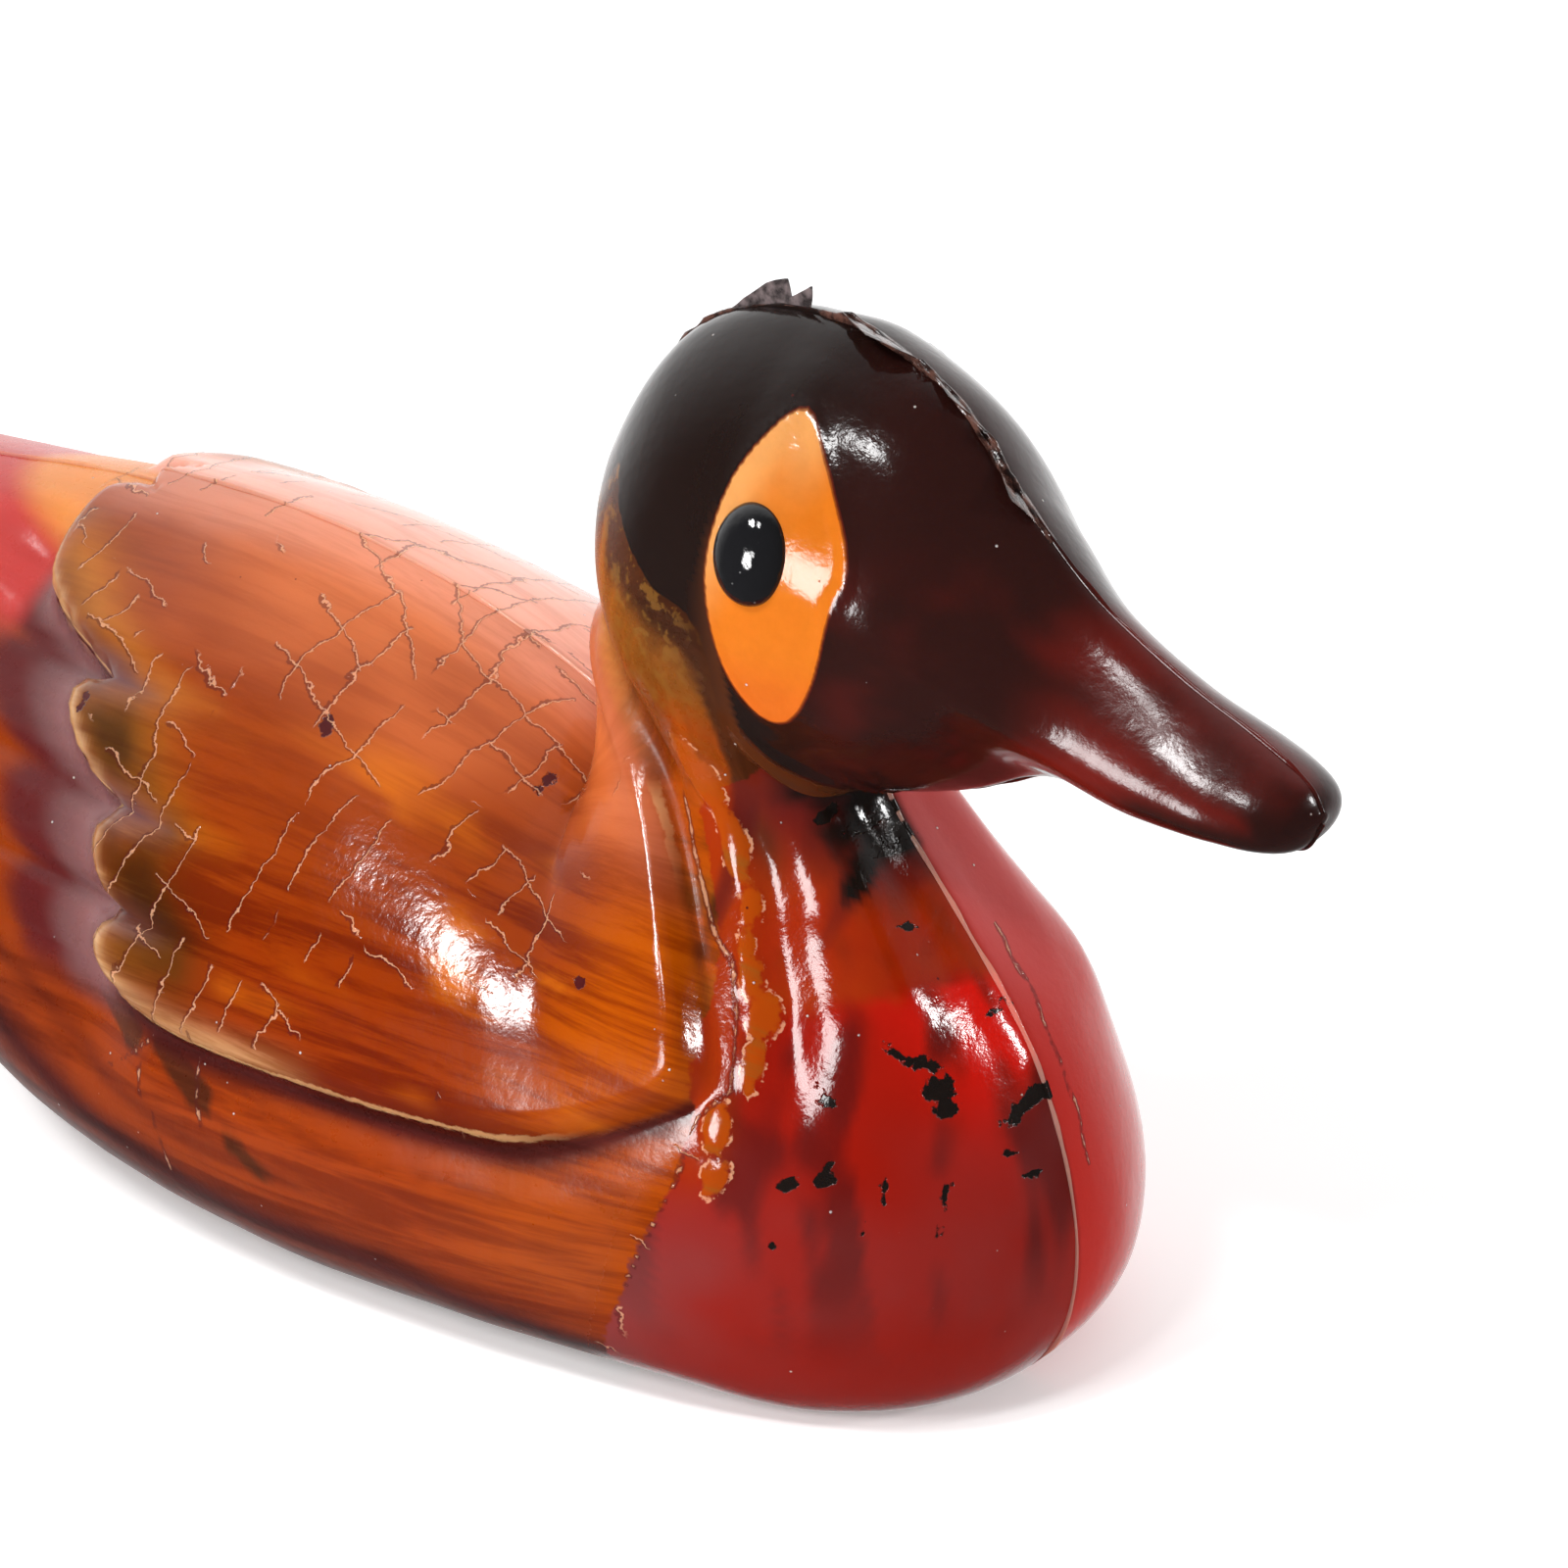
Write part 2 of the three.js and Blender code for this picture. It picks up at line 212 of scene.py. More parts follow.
# Camera and studio, in millimetres and degrees. Azimuth 0 is the duck's right side and 90 its bill.
VIEW_AZIMUTH = 40.0
VIEW_ELEVATION = 27.0
VIEW_DISTANCE = 600.0
VIEW_TARGET = (20.88, 0.0, 33.07)
VIEW_PIXELS_PER_MM = 17.4
PICTURE_PIXELS = 1600
SENSOR_WIDTH = 36.0
NEAREST_SEEN = 10.0
FLOOR_REACH = 1500.0
FLOOR_GREYS = (0.87, 0.89)
FLOOR_GLOW = 0.32
LIGHT_AIM = (10.0, 0.0, 30.0)
# Part of a light's side, from its edge, over which it fades
LIGHT_FADE = 0.22
# Soft lights: name, azimuth, elevation, distance, width, height and power in watts
LIGHTS = (
    ("key_box", -18, 51, 560, 104, 110, 2.45),
    ("crown_box", 7, 56, 560, 105, 48, 0.9),
    ("side_box", 119, 23, 620, 62, 160, 2.1),
    ("neck_box", 8, 17.5, 86, 24, 28, 0.066),
)
# Surround: elevation of its brightest place behind the duck, the cosines of the angle from that place at
# which it is dimmest and brightest, and its strength there
SURROUND_ELEVATION = 22
SURROUND_COSINES = (0.02, 0.85)
SURROUND_STRENGTHS = (0.12, 1.35)


def millimetres(label, about, value):
    """A length setting, given in millimetres."""
    return bpy.props.FloatProperty(name=label, description=about, unit="LENGTH", default=value * MM)


def tint(label, about, value):
    """A colour setting."""
    return bpy.props.FloatVectorProperty(name=label, description=about, subtype="COLOR", default=value)


class DuckSizes(bpy.types.PropertyGroup):
    """Sizes of the duck's relief and its casting marks."""

    wing_raise: millimetres("Wing raise", "How far the folded wing stands out of the body", 1.0)
    groove_depth: millimetres("Groove depth", "Depth of the groove under the wing", 1.1)
    hollow_depth: millimetres("Hollow depth", "Depth of the hollow behind the wing", 2.3)
    rim_height: millimetres("Feather rim", "Height of the rim along the feather tips", 0.16)
    jaw_step: millimetres("Jaw step", "How far the black head stands out over the neck", 0.4)
    seam_height: millimetres("Seam height", "Height of the mould's parting seam", 0.22)
    seam_width: millimetres("Seam width", "Width of the mould's parting seam", 0.34)


class DuckColours(bpy.types.PropertyGroup):
    """Colours of the resin, one for each zone."""

    wing_top: tint("Wing top", "Upper third of the folded wing", (0.62, 0.150, 0.038))
    wing_middle: tint("Wing middle", "Middle of the folded wing", (0.24, 0.032, 0.0012))
    wing_low: tint("Wing low", "Lower third of the folded wing", (0.21, 0.022, 0.0001))
    wing_front: tint("Wing front", "Golden shoulder of the wing", (0.36, 0.062, 0.0004))
    amber: tint("Amber", "Golden streaks of the folded wing", (0.56, 0.135, 0.003))
    olive: tint("Olive", "Inside of the feather tips", (0.070, 0.022, 0.002))
    rim: tint("Rim", "Pale rims of the feather tips", (0.62, 0.36, 0.16))
    # Painted sheen: pale peach standing for the surround's reflection along the back's ridge and its left
    # side
    spine: tint("Spine", "Ridge of the back", (0.82, 0.36, 0.26))
    rump: tint("Rump", "Yellow band along the back behind the wings", (0.72, 0.25, 0.065))
    flank: tint("Flank", "Side below the wing", (0.27, 0.033, 0.0006))
    flank_streak: tint("Flank streak", "Dark streaks of the side", (0.13, 0.014, 0.003))
    # Maroon: own colour of stripe, chips and pits; also painted shade in grooves, crevices and beside cracks
    maroon: tint("Maroon", "Grooves and the stripe along the bottom", (0.060, 0.006, 0.006))
    # Painted sheen: purple reflection of the surround at the wing's shoulder and low in the breast
    sheen: tint("Haze", "Purple haze at the wing's shoulder and low in the breast", (0.160, 0.050, 0.050))
    # Painted reflection: rosy-grey of the surround mirrored in the hollow behind the wing and between the
    # tips
    mauve_reflection: tint("Mauve", "Hollow behind the wing and between the feather tips", (0.145, 0.057, 0.057))
    red_patch: tint("Red patch", "Clear red under the rump's yellow", (0.50, 0.045, 0.040))
    gold: tint("Gold", "Olive gold inside the feather tips", (0.46, 0.140, 0.011))
    nape_olive: tint("Nape olive", "Olive brown of the nape", (0.25, 0.072, 0.006))
    hollow_red: tint("Hollow red", "Dark red behind the hollow", (0.100, 0.010, 0.010))
    neck: tint("Neck", "Amber of the neck", (0.34, 0.052, 0.0008))
    nape: tint("Nape", "Dark back of the neck and brown blocks of the side", (0.060, 0.016, 0.005))
    red: tint("Red", "Breast", (0.25, 0.006, 0.0015))
    red_streak: tint("Red streak", "Dark columns in the breast", (0.075, 0.004, 0.003))
    red_bright: tint("Bright red", "Clear block in the breast", (0.56, 0.006, 0.002))
    red_low: tint("Low red", "Foot of the breast", (0.24, 0.009, 0.0045))
    neck_low: tint("Neck low", "Orange brown over the breast", (0.28, 0.024, 0.0012))
    # Lighter than the breast's red, partly as painted sheen on the left side
    red_far: tint("Plain red", "Left side of the breast", (0.42, 0.020, 0.014))
    black: tint("Black", "Head, bill margins and chips", (0.008, 0.005, 0.004))
    bill: tint("Bill", "Red that shows through on the bill and the head", (0.130, 0.008, 0.005))
    patch: tint("Eye patch", "Orange patch round the eye", (0.53, 0.132, 0.008))
    cream: tint("Cream", "Upper rim of the eye patch", (0.62, 0.27, 0.08))
    crack: tint("Crack", "Raised cracks in the resin", (0.82, 0.42, 0.24))
    dust: tint("Dust", "Bubbles and dust on the surface", (0.80, 0.74, 0.70))
    # Painted sheen: rosy reflection of the surround high on the left side of the breast
    pink_sheen: tint("Pink", "Upper left side of the breast", (0.50, 0.085, 0.082))
    patch_low: tint("Low eye patch", "Foot of the eye patch", (0.54, 0.095, 0.010))
    patch_rim: tint("Patch rim", "Line round the eye patch", (0.10, 0.012, 0.004))
    speck: tint("Specks", "Olive specks of the nape", (0.20, 0.085, 0.012))
    seam: tint("Seam", "Tint of the parting seams", (0.85, 0.45, 0.36))
    torn_dark: tint("Torn dark", "Torn flash at its darkest", (0.016, 0.008, 0.007))
    torn_light: tint("Torn light", "Torn flash at its palest", (0.15, 0.065, 0.048))
    thin_dark: tint("Fin dark", "Thin fins of flash at their darkest", (0.045, 0.035, 0.035))
    thin_light: tint("Fin light", "Thin fins of flash at their palest", (0.22, 0.17, 0.17))
    bead: tint("Bead", "Eye beads", (0.006, 0.006, 0.007))
    bead_dust: tint("Bead dust", "Dust dots on the eye beads", (0.5, 0.5, 0.5))


# Shape


def through(rows, place):
    """Catmull-Rom curve through the rows at section numbers with a fraction."""
    padded = np.vstack([2 * rows[0] - rows[1], rows, 2 * rows[-1] - rows[-2]])
    index = np.clip(np.floor(place).astype(int), 0, len(rows) - 2)
    f = (place - index)[:, None]
    a, b, c, d = (padded[index + k] for k in range(4))
    return 0.5 * (2 * b + (c - a) * f + (2 * a - 5 * b + 4 * c - d) * f**2 + (3 * b - a - 3 * c + d) * f**3)


def above(value, low, high):
    """0 up to low and 1 from high, with 3 t squared less 2 t cubed between them."""
    t = np.clip((value - low) / (high - low), 0, 1)
    return t * t * (3 - 2 * t)


def below(value, low, high):
    """1 up to low and 0 from high."""
    return 1 - above(value, low, high)


def bell(value, middle, width):
    """Bell curve: exp of minus the square of the distance from the middle in widths."""
    return np.exp(-(((value - middle) / width) ** 2))


def body_points(place, angle):
    """Smooth body: place is the section number, angle 0 the keel, pi the back and more the right side.

    In a section the height goes as a power of the cosine and the half width as a power of the sine, which
    is a superellipse with its own roundness above and below the widest level.
    """
    back_x, back_z, keel_x, keel_z, half, level, low, high, _ = through(SECTIONS, place).T[:, :, None]
    side = np.where(angle > np.pi, -1.0, 1.0)
    turn = np.where(angle > np.pi, 2 * np.pi - angle, angle)[None, :]
    lower = turn < np.pi / 2
    power = 2 / np.where(lower, low, high)
    rise = np.abs(np.cos(turn)) ** power
    spread = np.abs(np.sin(turn)) ** power
    height = np.where(lower, level * (1 - rise), level + (1 - level) * rise)
    return np.stack([
        keel_x + (back_x - keel_x) * height,
        side[None, :] * np.maximum(half, 0) * spread,
        keel_z + (back_z - keel_z) * height,
    ], axis=-1)


def ring_angles(half_ring):
    """Angles round a ring, drawn together by a bell curve where the wing's lower edge runs."""
    even = np.linspace(0, np.pi, half_ring + 1)
    off = even - WING_EDGE_ANGLE
    left = np.clip(even - EDGE_CROWDING * off * np.exp(-off * off * 2.5), 0, np.pi)
    return np.concatenate([left, 2 * np.pi - left[-2:0:-1]])


def ring_places(rings):
    """Section numbers of the rings, spread as the sections' own ring counts are."""
    ends = np.concatenate([[0], np.cumsum(SECTIONS[:-1, 8])])
    steps = np.arange(1, rings + 1) / (rings + 1)
    return np.interp(steps * ends[-1], ends, np.arange(len(SECTIONS)))


def outward(points):
    """Unit normals of a grid of rings, from the cross product of its two differences."""
    along = np.gradient(points, axis=0)
    around = np.roll(points, -1, axis=1) - np.roll(points, 1, axis=1)
    normal = np.cross(around, along)
    return normal / np.maximum(np.linalg.norm(normal, axis=-1, keepdims=True), 1e-9)


def rounded_min(a, b, radius):
    """The smaller of two distances, rounded off where they are within the radius of each other.

    There a quarter of the radius comes off, times the square of how near they are as a part of it.
    """
    h = np.maximum(radius - np.abs(a - b), 0) / radius
    return np.minimum(a, b) - h * h * radius * 0.25


def wing_height(z):
    """Height over the wing's foot, as a part of the height of its rear edge."""
    return np.maximum((z - WING_FOOT) / WING_RISE, 0)


def tip_wave(z):
    """A sine that is zero in each valley between two feather tips."""
    return np.sin(np.pi * WING_TIPS * wing_height(z) ** 0.85)


def inside_wing(x, z):
    """Distance inside the folded wing's outline in side view: the least of its rear, lower and front edges.

    The rear edge sweeps back with height in rounded tips, which are a power of a sine.
    """
    up = wing_height(z)
    tips = (1.8 + 8.5 * up**2) * np.abs(tip_wave(z)) ** 0.6
    rear = (x - WING_REAR + WING_SWEEP * up**2 + tips) * 0.8
    heel = 1.4 * (np.maximum(-5 - x, 0) / 7) ** 2
    shoulder = 3.9 * (np.maximum(x - 15, 0) / 12) ** 2
    lower = z - (WING_LOWER + heel + shoulder)
    front = (WING_FRONT - 11.5 * (np.maximum(z - 22, 0) / 15) ** 1.25 - x) * 0.8
    return rounded_min(rounded_min(rear, lower, 1.2), front, 1.2)


def wing_relief(points, sizes):
    """Folded wing: a lip, a groove below it, a hollow behind it and a valley between each two feather tips.

    The groove and the hollow go as distance times exp of minus the distance, and the valleys as a bell
    curve of the tips' sine, fading forwards. The right wing swells more in its middle.
    """
    x, y, z = np.moveaxis(points, -1, 0)
    inside = inside_wing(x, z)
    off_spine = above(np.abs(y), 3.2, 7.2)
    right = below(y, -3, 0)
    away = np.maximum(-inside, 0)
    behind = below(x, -16, -8)
    ahead = above(x, 15, WING_FRONT)
    width = 1.2 + 2.2 * behind
    depth = sizes.groove_depth / MM * (1 - behind) + sizes.hollow_depth / MM * behind
    groove = depth * (1 - ahead) * away / width * np.exp(1 - away / width)
    step = sizes.wing_raise / MM * above(inside, -0.35, 1.3)
    front = ahead * above(z, 17, 22)
    lip = sizes.rim_height / MM * bell(inside, 0.55, 0.5) * (1 - front)
    chamfer = 0.16 * front * np.clip(1.7 - inside, 0, 1.7) * right
    crevice = 0.5 * bell(inside, -0.7, 0.35) * behind
    between = bell(tip_wave(z), 0, 0.38) * above(z, 19.5, 21) * below(z, 33.5, 36)
    valley = 0.9 * between * below(inside, 0, 8) * below(x, -10, -4)
    dome = 0.45 * (1 - between) * bell(inside, 2.8, 2.4) * below(x, -12, -6)
    swell = 1.2 * above(x, 6, 30) * bell(z, 23, 8) * above(inside, -0.5, 1.5) * right
    cut = (lip - crevice - valley - groove) * above(z, 8, 15)
    return step + swell - chamfer + (dome + cut) * off_spine


def edge_distance(x, z, outline):
    """Distance inside a closed smooth outline in side view, below zero outside."""
    knots = np.asarray(outline, float)
    loop = through(np.vstack([knots[-1], knots, knots[:2]]), 1 + np.arange(len(knots) * 8) / 8)
    ahead = np.roll(loop, -1, axis=0)
    flat_x, flat_z = x.ravel(), z.ravel()
    nearest = np.full(flat_x.shape, 1e9)
    crossings = np.zeros(flat_x.shape, int)
    for (ax, az), (bx, bz) in zip(loop, ahead):
        span = (bx - ax) ** 2 + (bz - az) ** 2 + 1e-12
        f = np.clip(((flat_x - ax) * (bx - ax) + (flat_z - az) * (bz - az)) / span, 0, 1)
        gap = np.hypot(flat_x - ax - f * (bx - ax), flat_z - az - f * (bz - az))
        nearest = np.minimum(nearest, gap)
        spans = (az > flat_z) != (bz > flat_z)
        cut = ax + (flat_z - az) * (bx - ax) / np.where(bz == az, 1e-12, bz - az)
        crossings += spans & (flat_x < cut)
    return np.where(crossings % 2 == 1, nearest, -nearest).reshape(x.shape)


def lumps(points, size, seed):
    """Soft noise from -1 to 1: seeded numbers at the corners of a lattice of this size, blended smoothly."""
    table = np.random.default_rng(seed).uniform(-1, 1, NOISE_NUMBERS)
    place = points / size
    cell = np.floor(place).astype(np.int64)
    part = place - cell
    part = part * part * (3 - 2 * part)
    total = np.zeros(points.shape[:-1])
    for corner in np.ndindex(2, 2, 2):
        key = (cell + corner) * NOISE_FACTORS
        weight = np.prod(np.where(np.array(corner) == 1, part, 1 - part), axis=-1)
        total += weight * table[np.bitwise_xor.reduce(key, axis=-1) % NOISE_NUMBERS]
    return total


def layered_lumps(points, size, seed):
    """Three sizes of soft noise, each half as large and half as strong as the one before."""
    layers = (0.5**k * lumps(points, size / 2**k, seed + k) for k in range(3))
    return sum(layers) / 1.4


def stroke_distance(x, z, ends):
    """Distance in side view from the straight stroke between two places."""
    ax, az, bx, bz = ends
    along = ((x - ax) * (bx - ax) + (z - az) * (bz - az)) / ((bx - ax) ** 2 + (bz - az) ** 2)
    along = np.clip(along, 0, 1)
    return np.hypot(x - ax - along * (bx - ax), z - az - along * (bz - az))


def oval_distance(x, y, z, ovals):
    """Distance inside the nearest oval of the right side: 1 less an ellipse's radius, times its half size."""
    best = np.full(x.shape, -float(OVAL_FAR))
    for middle_x, middle_z, length, height, slant in ovals:
        turn = np.radians(slant)
        along = (x - middle_x) * np.cos(turn) + (z - middle_z) * np.sin(turn)
        across = (z - middle_z) * np.cos(turn) - (x - middle_x) * np.sin(turn)
        radius = np.hypot(along / length, across / height)
        best = np.maximum(best, np.clip((1 - radius) * min(length, height), -OVAL_FAR, OVAL_FAR))
    return np.where(y < 0.5, best, -OVAL_FAR)


def head_distance(x, z):
    """Height over the black head's lower edge, scaled down where the edge is steep."""
    before, edge, after = (np.interp(x + off, *np.transpose(HEAD_EDGE)) for off in (-0.5, 0, 0.5))
    return (z - edge) / np.sqrt(1 + (after - before) ** 2)


def breast_distance(x, z):
    """Distance ahead of the red breast's rear edge."""
    edge_x, edge_z = np.transpose(BREAST_EDGE)
    return x - np.interp(z, edge_z, edge_x)


def edge_fields(points):
    """Distances inside the sharp-edged colour areas, in millimetres at each point of the smooth body."""
    x, y, z = np.moveaxis(points, -1, 0)
    strokes = [start + end for path in LONG_CRACKS for start, end in zip(path, path[1:])]
    right_cracks = np.minimum.reduce([stroke_distance(x, z, ends) for ends in strokes]) + HIDDEN * (y > 0)
    off_breast = (x < 30) | (np.abs(z - 21) > 7)
    seam_crack = np.abs(y - 2.1 - 0.4 * lumps(points, 2.2, 33)) + HIDDEN * off_breast
    distances = {
        "wing": inside_wing(x, z),
        "head": head_distance(x, z),
        "patch": edge_distance(x, z, EYE_PATCH),
        "lobes": oval_distance(x, y, z, LOBES),
        "breast": breast_distance(x, z),
        "chips": oval_distance(x, y, z, CHIPS),
        "long_cracks": np.minimum(right_cracks, seam_crack),
    }
    return {name: np.clip(values, -FAR, FAR) for name, values in distances.items()}


def painted(under, *layers):
    """Colours laid over one another in turn: each layer is a colour and its weight from 0 to 1."""
    for top, weight in layers:
        under = under + (top - under) * np.clip(weight, 0, 1)[..., None]
    return under


def wing_colours(at, hue):
    """Light and streak colours of the folded wing: tips with pale rims, painted reflection between them."""
    x, z, cloud, small, wing = at.x, at.z, at.cloud, at.small, at.wing
    golden = above(layered_lumps(at.points * (0.35, 1, 1), 4, 17), 0.05, 0.45)
    rear = below(x - cloud, -13, -7) * below(z, 35, 37)
    between = bell(tip_wave(z), 0, 0.5)
    inner = below(x - 1.5 * cloud, -9, -2) * bell(wing, 3.8, 2.6) * below(z - cloud, 30, 32.5)
    light = painted(
        hue.wing_low,
        (hue.wing_middle, above(z + 2.5 * cloud, 20, 28.5)),
        (hue.wing_top, above(z + 2 * cloud + 0.15 * x, 30, 37.5)),
        (hue.wing_front, above(x + 3 * cloud, 14, 22) * below(z, 27, 33)),
        # Painted sheen along the back's ridge and over its left side
        (hue.spine, 0.4 * below(at.off + 1.2 * cloud, 1.0, 4.5) * above(z, 31, 35)),
        (hue.spine, above(at.y, 0.0, 0.5) * above(z, 31, 35)),
        (hue.amber, 0.8 * golden * below(z - 2 * cloud, 27, 33)),
        # Painted sheen: purple reflection at the wing's shoulder
        (hue.sheen, 0.4 * below(wing, 0.5, 4.5) * above(x, 5, 11) * above(z, 28, 32)),
        (hue.gold, rear * bell(wing, 3.6, 3.2) * (0.8 + 0.4 * small)),
        (hue.olive, 0.45 * rear * bell(wing, 2.6, 1.8) * above(small + 0.6 * cloud, -0.1, 0.4)),
        (hue.olive, inner * (0.75 + 0.5 * small)),
        (hue.rim, (1 - between) * rear * below(wing - 0.4 * small, 0.5, 1.5)),
        # Painted reflection in the valleys between the feather tips
        (hue.mauve_reflection, rear * between * below(wing - small, 1.0, 6.5)),
        (hue.rim, 0.6 * below(x, 0, 6) * bell(wing, 0.4, 0.9) * below(z, 19, 22)),
    )
    contrast = 0.30 + 0.55 * below(z + 4 * cloud, 24, 33)
    return light, light * (1 - contrast[..., None] * (0.50, 0.70, 0.85))


def side_colours(at, hue):
    """Light and streak colours below and behind the wing.

    The side has its stripe and brown blocks, and painted shade in the groove under the wing. Behind the wing
    the hollow shows a painted rosy-grey reflection near the tips, lighter by the rim as a painted highlight,
    and then dark red, with a clear red patch under the rump's yellow.
    """
    x, z, cloud, small, wing = at.x, at.z, at.cloud, at.small, at.wing
    stripe = z + 0.5 * cloud - np.interp(x, *np.transpose(STRIPE))
    behind = below(x, -15, -11) * above(z, 14.5, 18)
    top = above(z + 0.08 * (x + 30) + 0.3 * cloud, 34.6, 35.8) * below(at.off, 6, 8.5)
    inside_blocks = [half - stroke_distance(x, z, ends) + 0.4 * small for *ends, half in BLOCKS]
    side = painted(
        hue.flank,
        (hue.flank_streak, 0.25 * above(small, 0.1, 0.6)),
        (hue.wing_front, 0.5 * above(x + 2 * cloud, 10, 20) * above(z, 6, 9)),
        (hue.flank_streak, 0.8 * bell(stripe, 4.2, 0.7) * below(x, 0, 8)),
        (hue.maroon, 0.95 * bell(stripe, 0, 1.7)),
        (hue.maroon, 0.6 * below(stripe - 0.5 * cloud, -3, -0.5)),
        *((hue.nape, 0.85 * above(inside, -0.1, 0.3)) for inside in inside_blocks),
        # Painted shade: maroon laid in the groove just under the wing's edge
        (hue.maroon, 0.95 * above(wing + 0.5 * cloud, -2.4, -0.9)),
        (hue.hollow_red, behind * above(wing + 0.4 * cloud, -10, -7)),
        # Painted reflection in the hollow behind the wing, and a lighter painted highlight near its rim
        (hue.mauve_reflection, behind * above(wing + 0.3 * cloud, -6.0, -4.0)),
        (hue.mauve_reflection * 1.6, 0.8 * behind * bell(wing + 0.2 * cloud, -2.2, 1.5)),
        (hue.flank, 0.7 * behind * bell(wing + 0.6 * cloud, -9.2, 0.9) * below(z, 27, 31)),
        (hue.red_patch, below(x, -33.5, -31.5) * above(z + 0.6 * cloud, 30.5, 32.5)),
        # Painted reflection beside the wing's rear, high at the back
        (hue.mauve_reflection, 0.8 * below(x, -31, -29) * above(wing + cloud, -2.6, -1.2) * above(z, 30, 33)),
        (hue.rump, top),
    )
    return side, painted(side * (0.62, 0.50, 0.42), (side * 0.93, np.maximum(top, behind)))


def neck_colours(at, hue):
    """Neck over the wing's front edge: amber below, olive and then dark brown towards the head."""
    x, z, cloud, small = at.x, at.z, at.cloud, at.small
    return painted(
        hue.neck,
        (hue.nape_olive, above(z + 1.5 * cloud, 40.5, 44.5)),
        (hue.nape_olive, below(x - 2 * cloud, 13, 17)),
        (hue.nape_olive, 0.5 * above(small, 0.0, 0.5)),
        (hue.flank_streak, 0.6 * below(x, 16, 19.5) * below(z - cloud, 39, 43)),
        (hue.nape, above(at.head + 0.8 * small, -4.0, -1.4)),
    )


def breast_colours(at, hue):
    """Breast: upright columns, orange-brown above, duller below, plainer on the left side, with painted
    sheen.
    """
    x, y, z, cloud, small, head, breast = at.x, at.y, at.z, at.cloud, at.small, at.head, at.breast
    columns = lumps(at.points * (1, 1, 0.14), 2.6, 41) + 0.5 * lumps(at.points * (1, 1, 0.25), 1.2, 42)
    clear = bell(x + 0.9 * z, 60.5, 3.2) * below(z, 26, 26.5) * above(z, 9, 13)
    return painted(
        hue.red,
        (hue.red_streak, 0.8 * above(columns, 0.05, 0.6)),
        (hue.red_bright, clear * below(columns, -0.2, 0.3)),
        (hue.neck_low, above(z + 1.2 * small, 25.4, 27.0) * (0.6 + 0.4 * small)),
        (hue.neck_low, 0.9 * bell(breast, 0.8, 1.4) * above(z, 13, 19)),
        (hue.nape, 0.85 * bell(x + 0.5 * (z - 34), 25.6, 1.3) * bell(z, 34.0, 2.2)),
        (hue.red_low, below(z - 1.5 * cloud, 5, 12)),
        # Painted sheen: purple reflection over the lower breast and near its rear edge
        (hue.sheen, (0.10 + 0.22 * cloud) * below(z, 16, 22)),
        (hue.sheen, 0.5 * below(breast - 2 * cloud, 1, 8) * below(z, 6, 18)),
        # Left side: lighter plain red, partly painted sheen, and higher up a rosy painted sheen
        (hue.red_far, above(y, 0.0, 0.4)),
        (hue.pink_sheen, 0.7 * above(y, 0.2, 0.8) * above(z + 2 * cloud, 18, 32)),
        (hue.maroon, 0.8 * above(head + 0.8 * cloud, -4.5, -1.5) * below(y, 0, 0.4)),
        (hue.black, above(head + 1.2 * small + 0.6 * cloud, -2.2, -1.2) * above(x, 25, 27) * below(y, 0, 1)),
    )


def head_colours(at, hue):
    """Head and bill: black, with maroon that shows through low on the head and over the bill."""
    x, z, cloud, small, head = at.x, at.z, at.cloud, at.small, at.head
    show = above(cloud + 0.3 * small, -0.1, 0.7) * above(x, 29, 36) * below(z, 50, 56)
    margin = np.maximum(below(z, 42.9, 44.3), above(x + 0.8 * small, 56.6, 58.2))
    up_the_bill = (z - 41.5) / np.interp(x, (43.8, 58.8), (10.5, 3.8))
    on_side = 0.25 + 0.75 * below(up_the_bill + 0.08 * small, 0.5, 0.72)
    return painted(
        hue.black,
        (hue.bill, 0.02 + 0.09 * above(x + 2 * small, 25, 33) + 0.55 * show),
        (hue.bill, above(x, 41, 47) * (1 - margin) * on_side * (0.75 + 0.25 * small)),
        (hue.nape, below(head - 0.3 * small, 1.4, 2.0) * above(x, 22, 25)),
        (hue.nape, 0.45 * below(x + 0.25 * z - 1.5 * cloud, 25.6, 27.2) * below(z, 53, 57)),
    )


def crack_strength(at):
    """How strongly cracks show: in patches on the wing, less at the shoulder, and along the breast's edge."""
    cracks = above(layered_lumps(at.points, 7, 51), -0.40, -0.05) * above(at.z, 5, 11)
    cracks *= 0.85 * above(at.wing, -2, 0.8) + 0.15 * above(np.abs(at.wing + 5), 1.5, 3)
    cracks *= 1 - 0.75 * above(at.x + 2 * at.cloud, 13, 17)
    return np.maximum(cracks, 0.8 * bell(at.breast, 0.4, 1.3) * below(at.z, 19, 22))


def satin_finish(at):
    """Roughness: glossiest high in the breast, and duller on the bill, low on the body and in the amber."""
    x, z, wing = at.x, at.z, at.wing
    below_head = below(at.head, -1, 0)
    amber = below(at.breast, -2, 0) * below_head
    off_wing = below(wing, -0.3, 0.3)
    satin = 0.12 + 0.06 * above(x, 42, 48) + 0.06 * below(z, 6, 16) + 0.16 * amber * off_wing
    satin += 0.10 * amber * (1 - off_wing) * below(wing, 4, 6) * below(z, 21, 24)
    return satin - 0.02 * above(at.breast, 0, 1) * above(z, 14, 20) * below_head


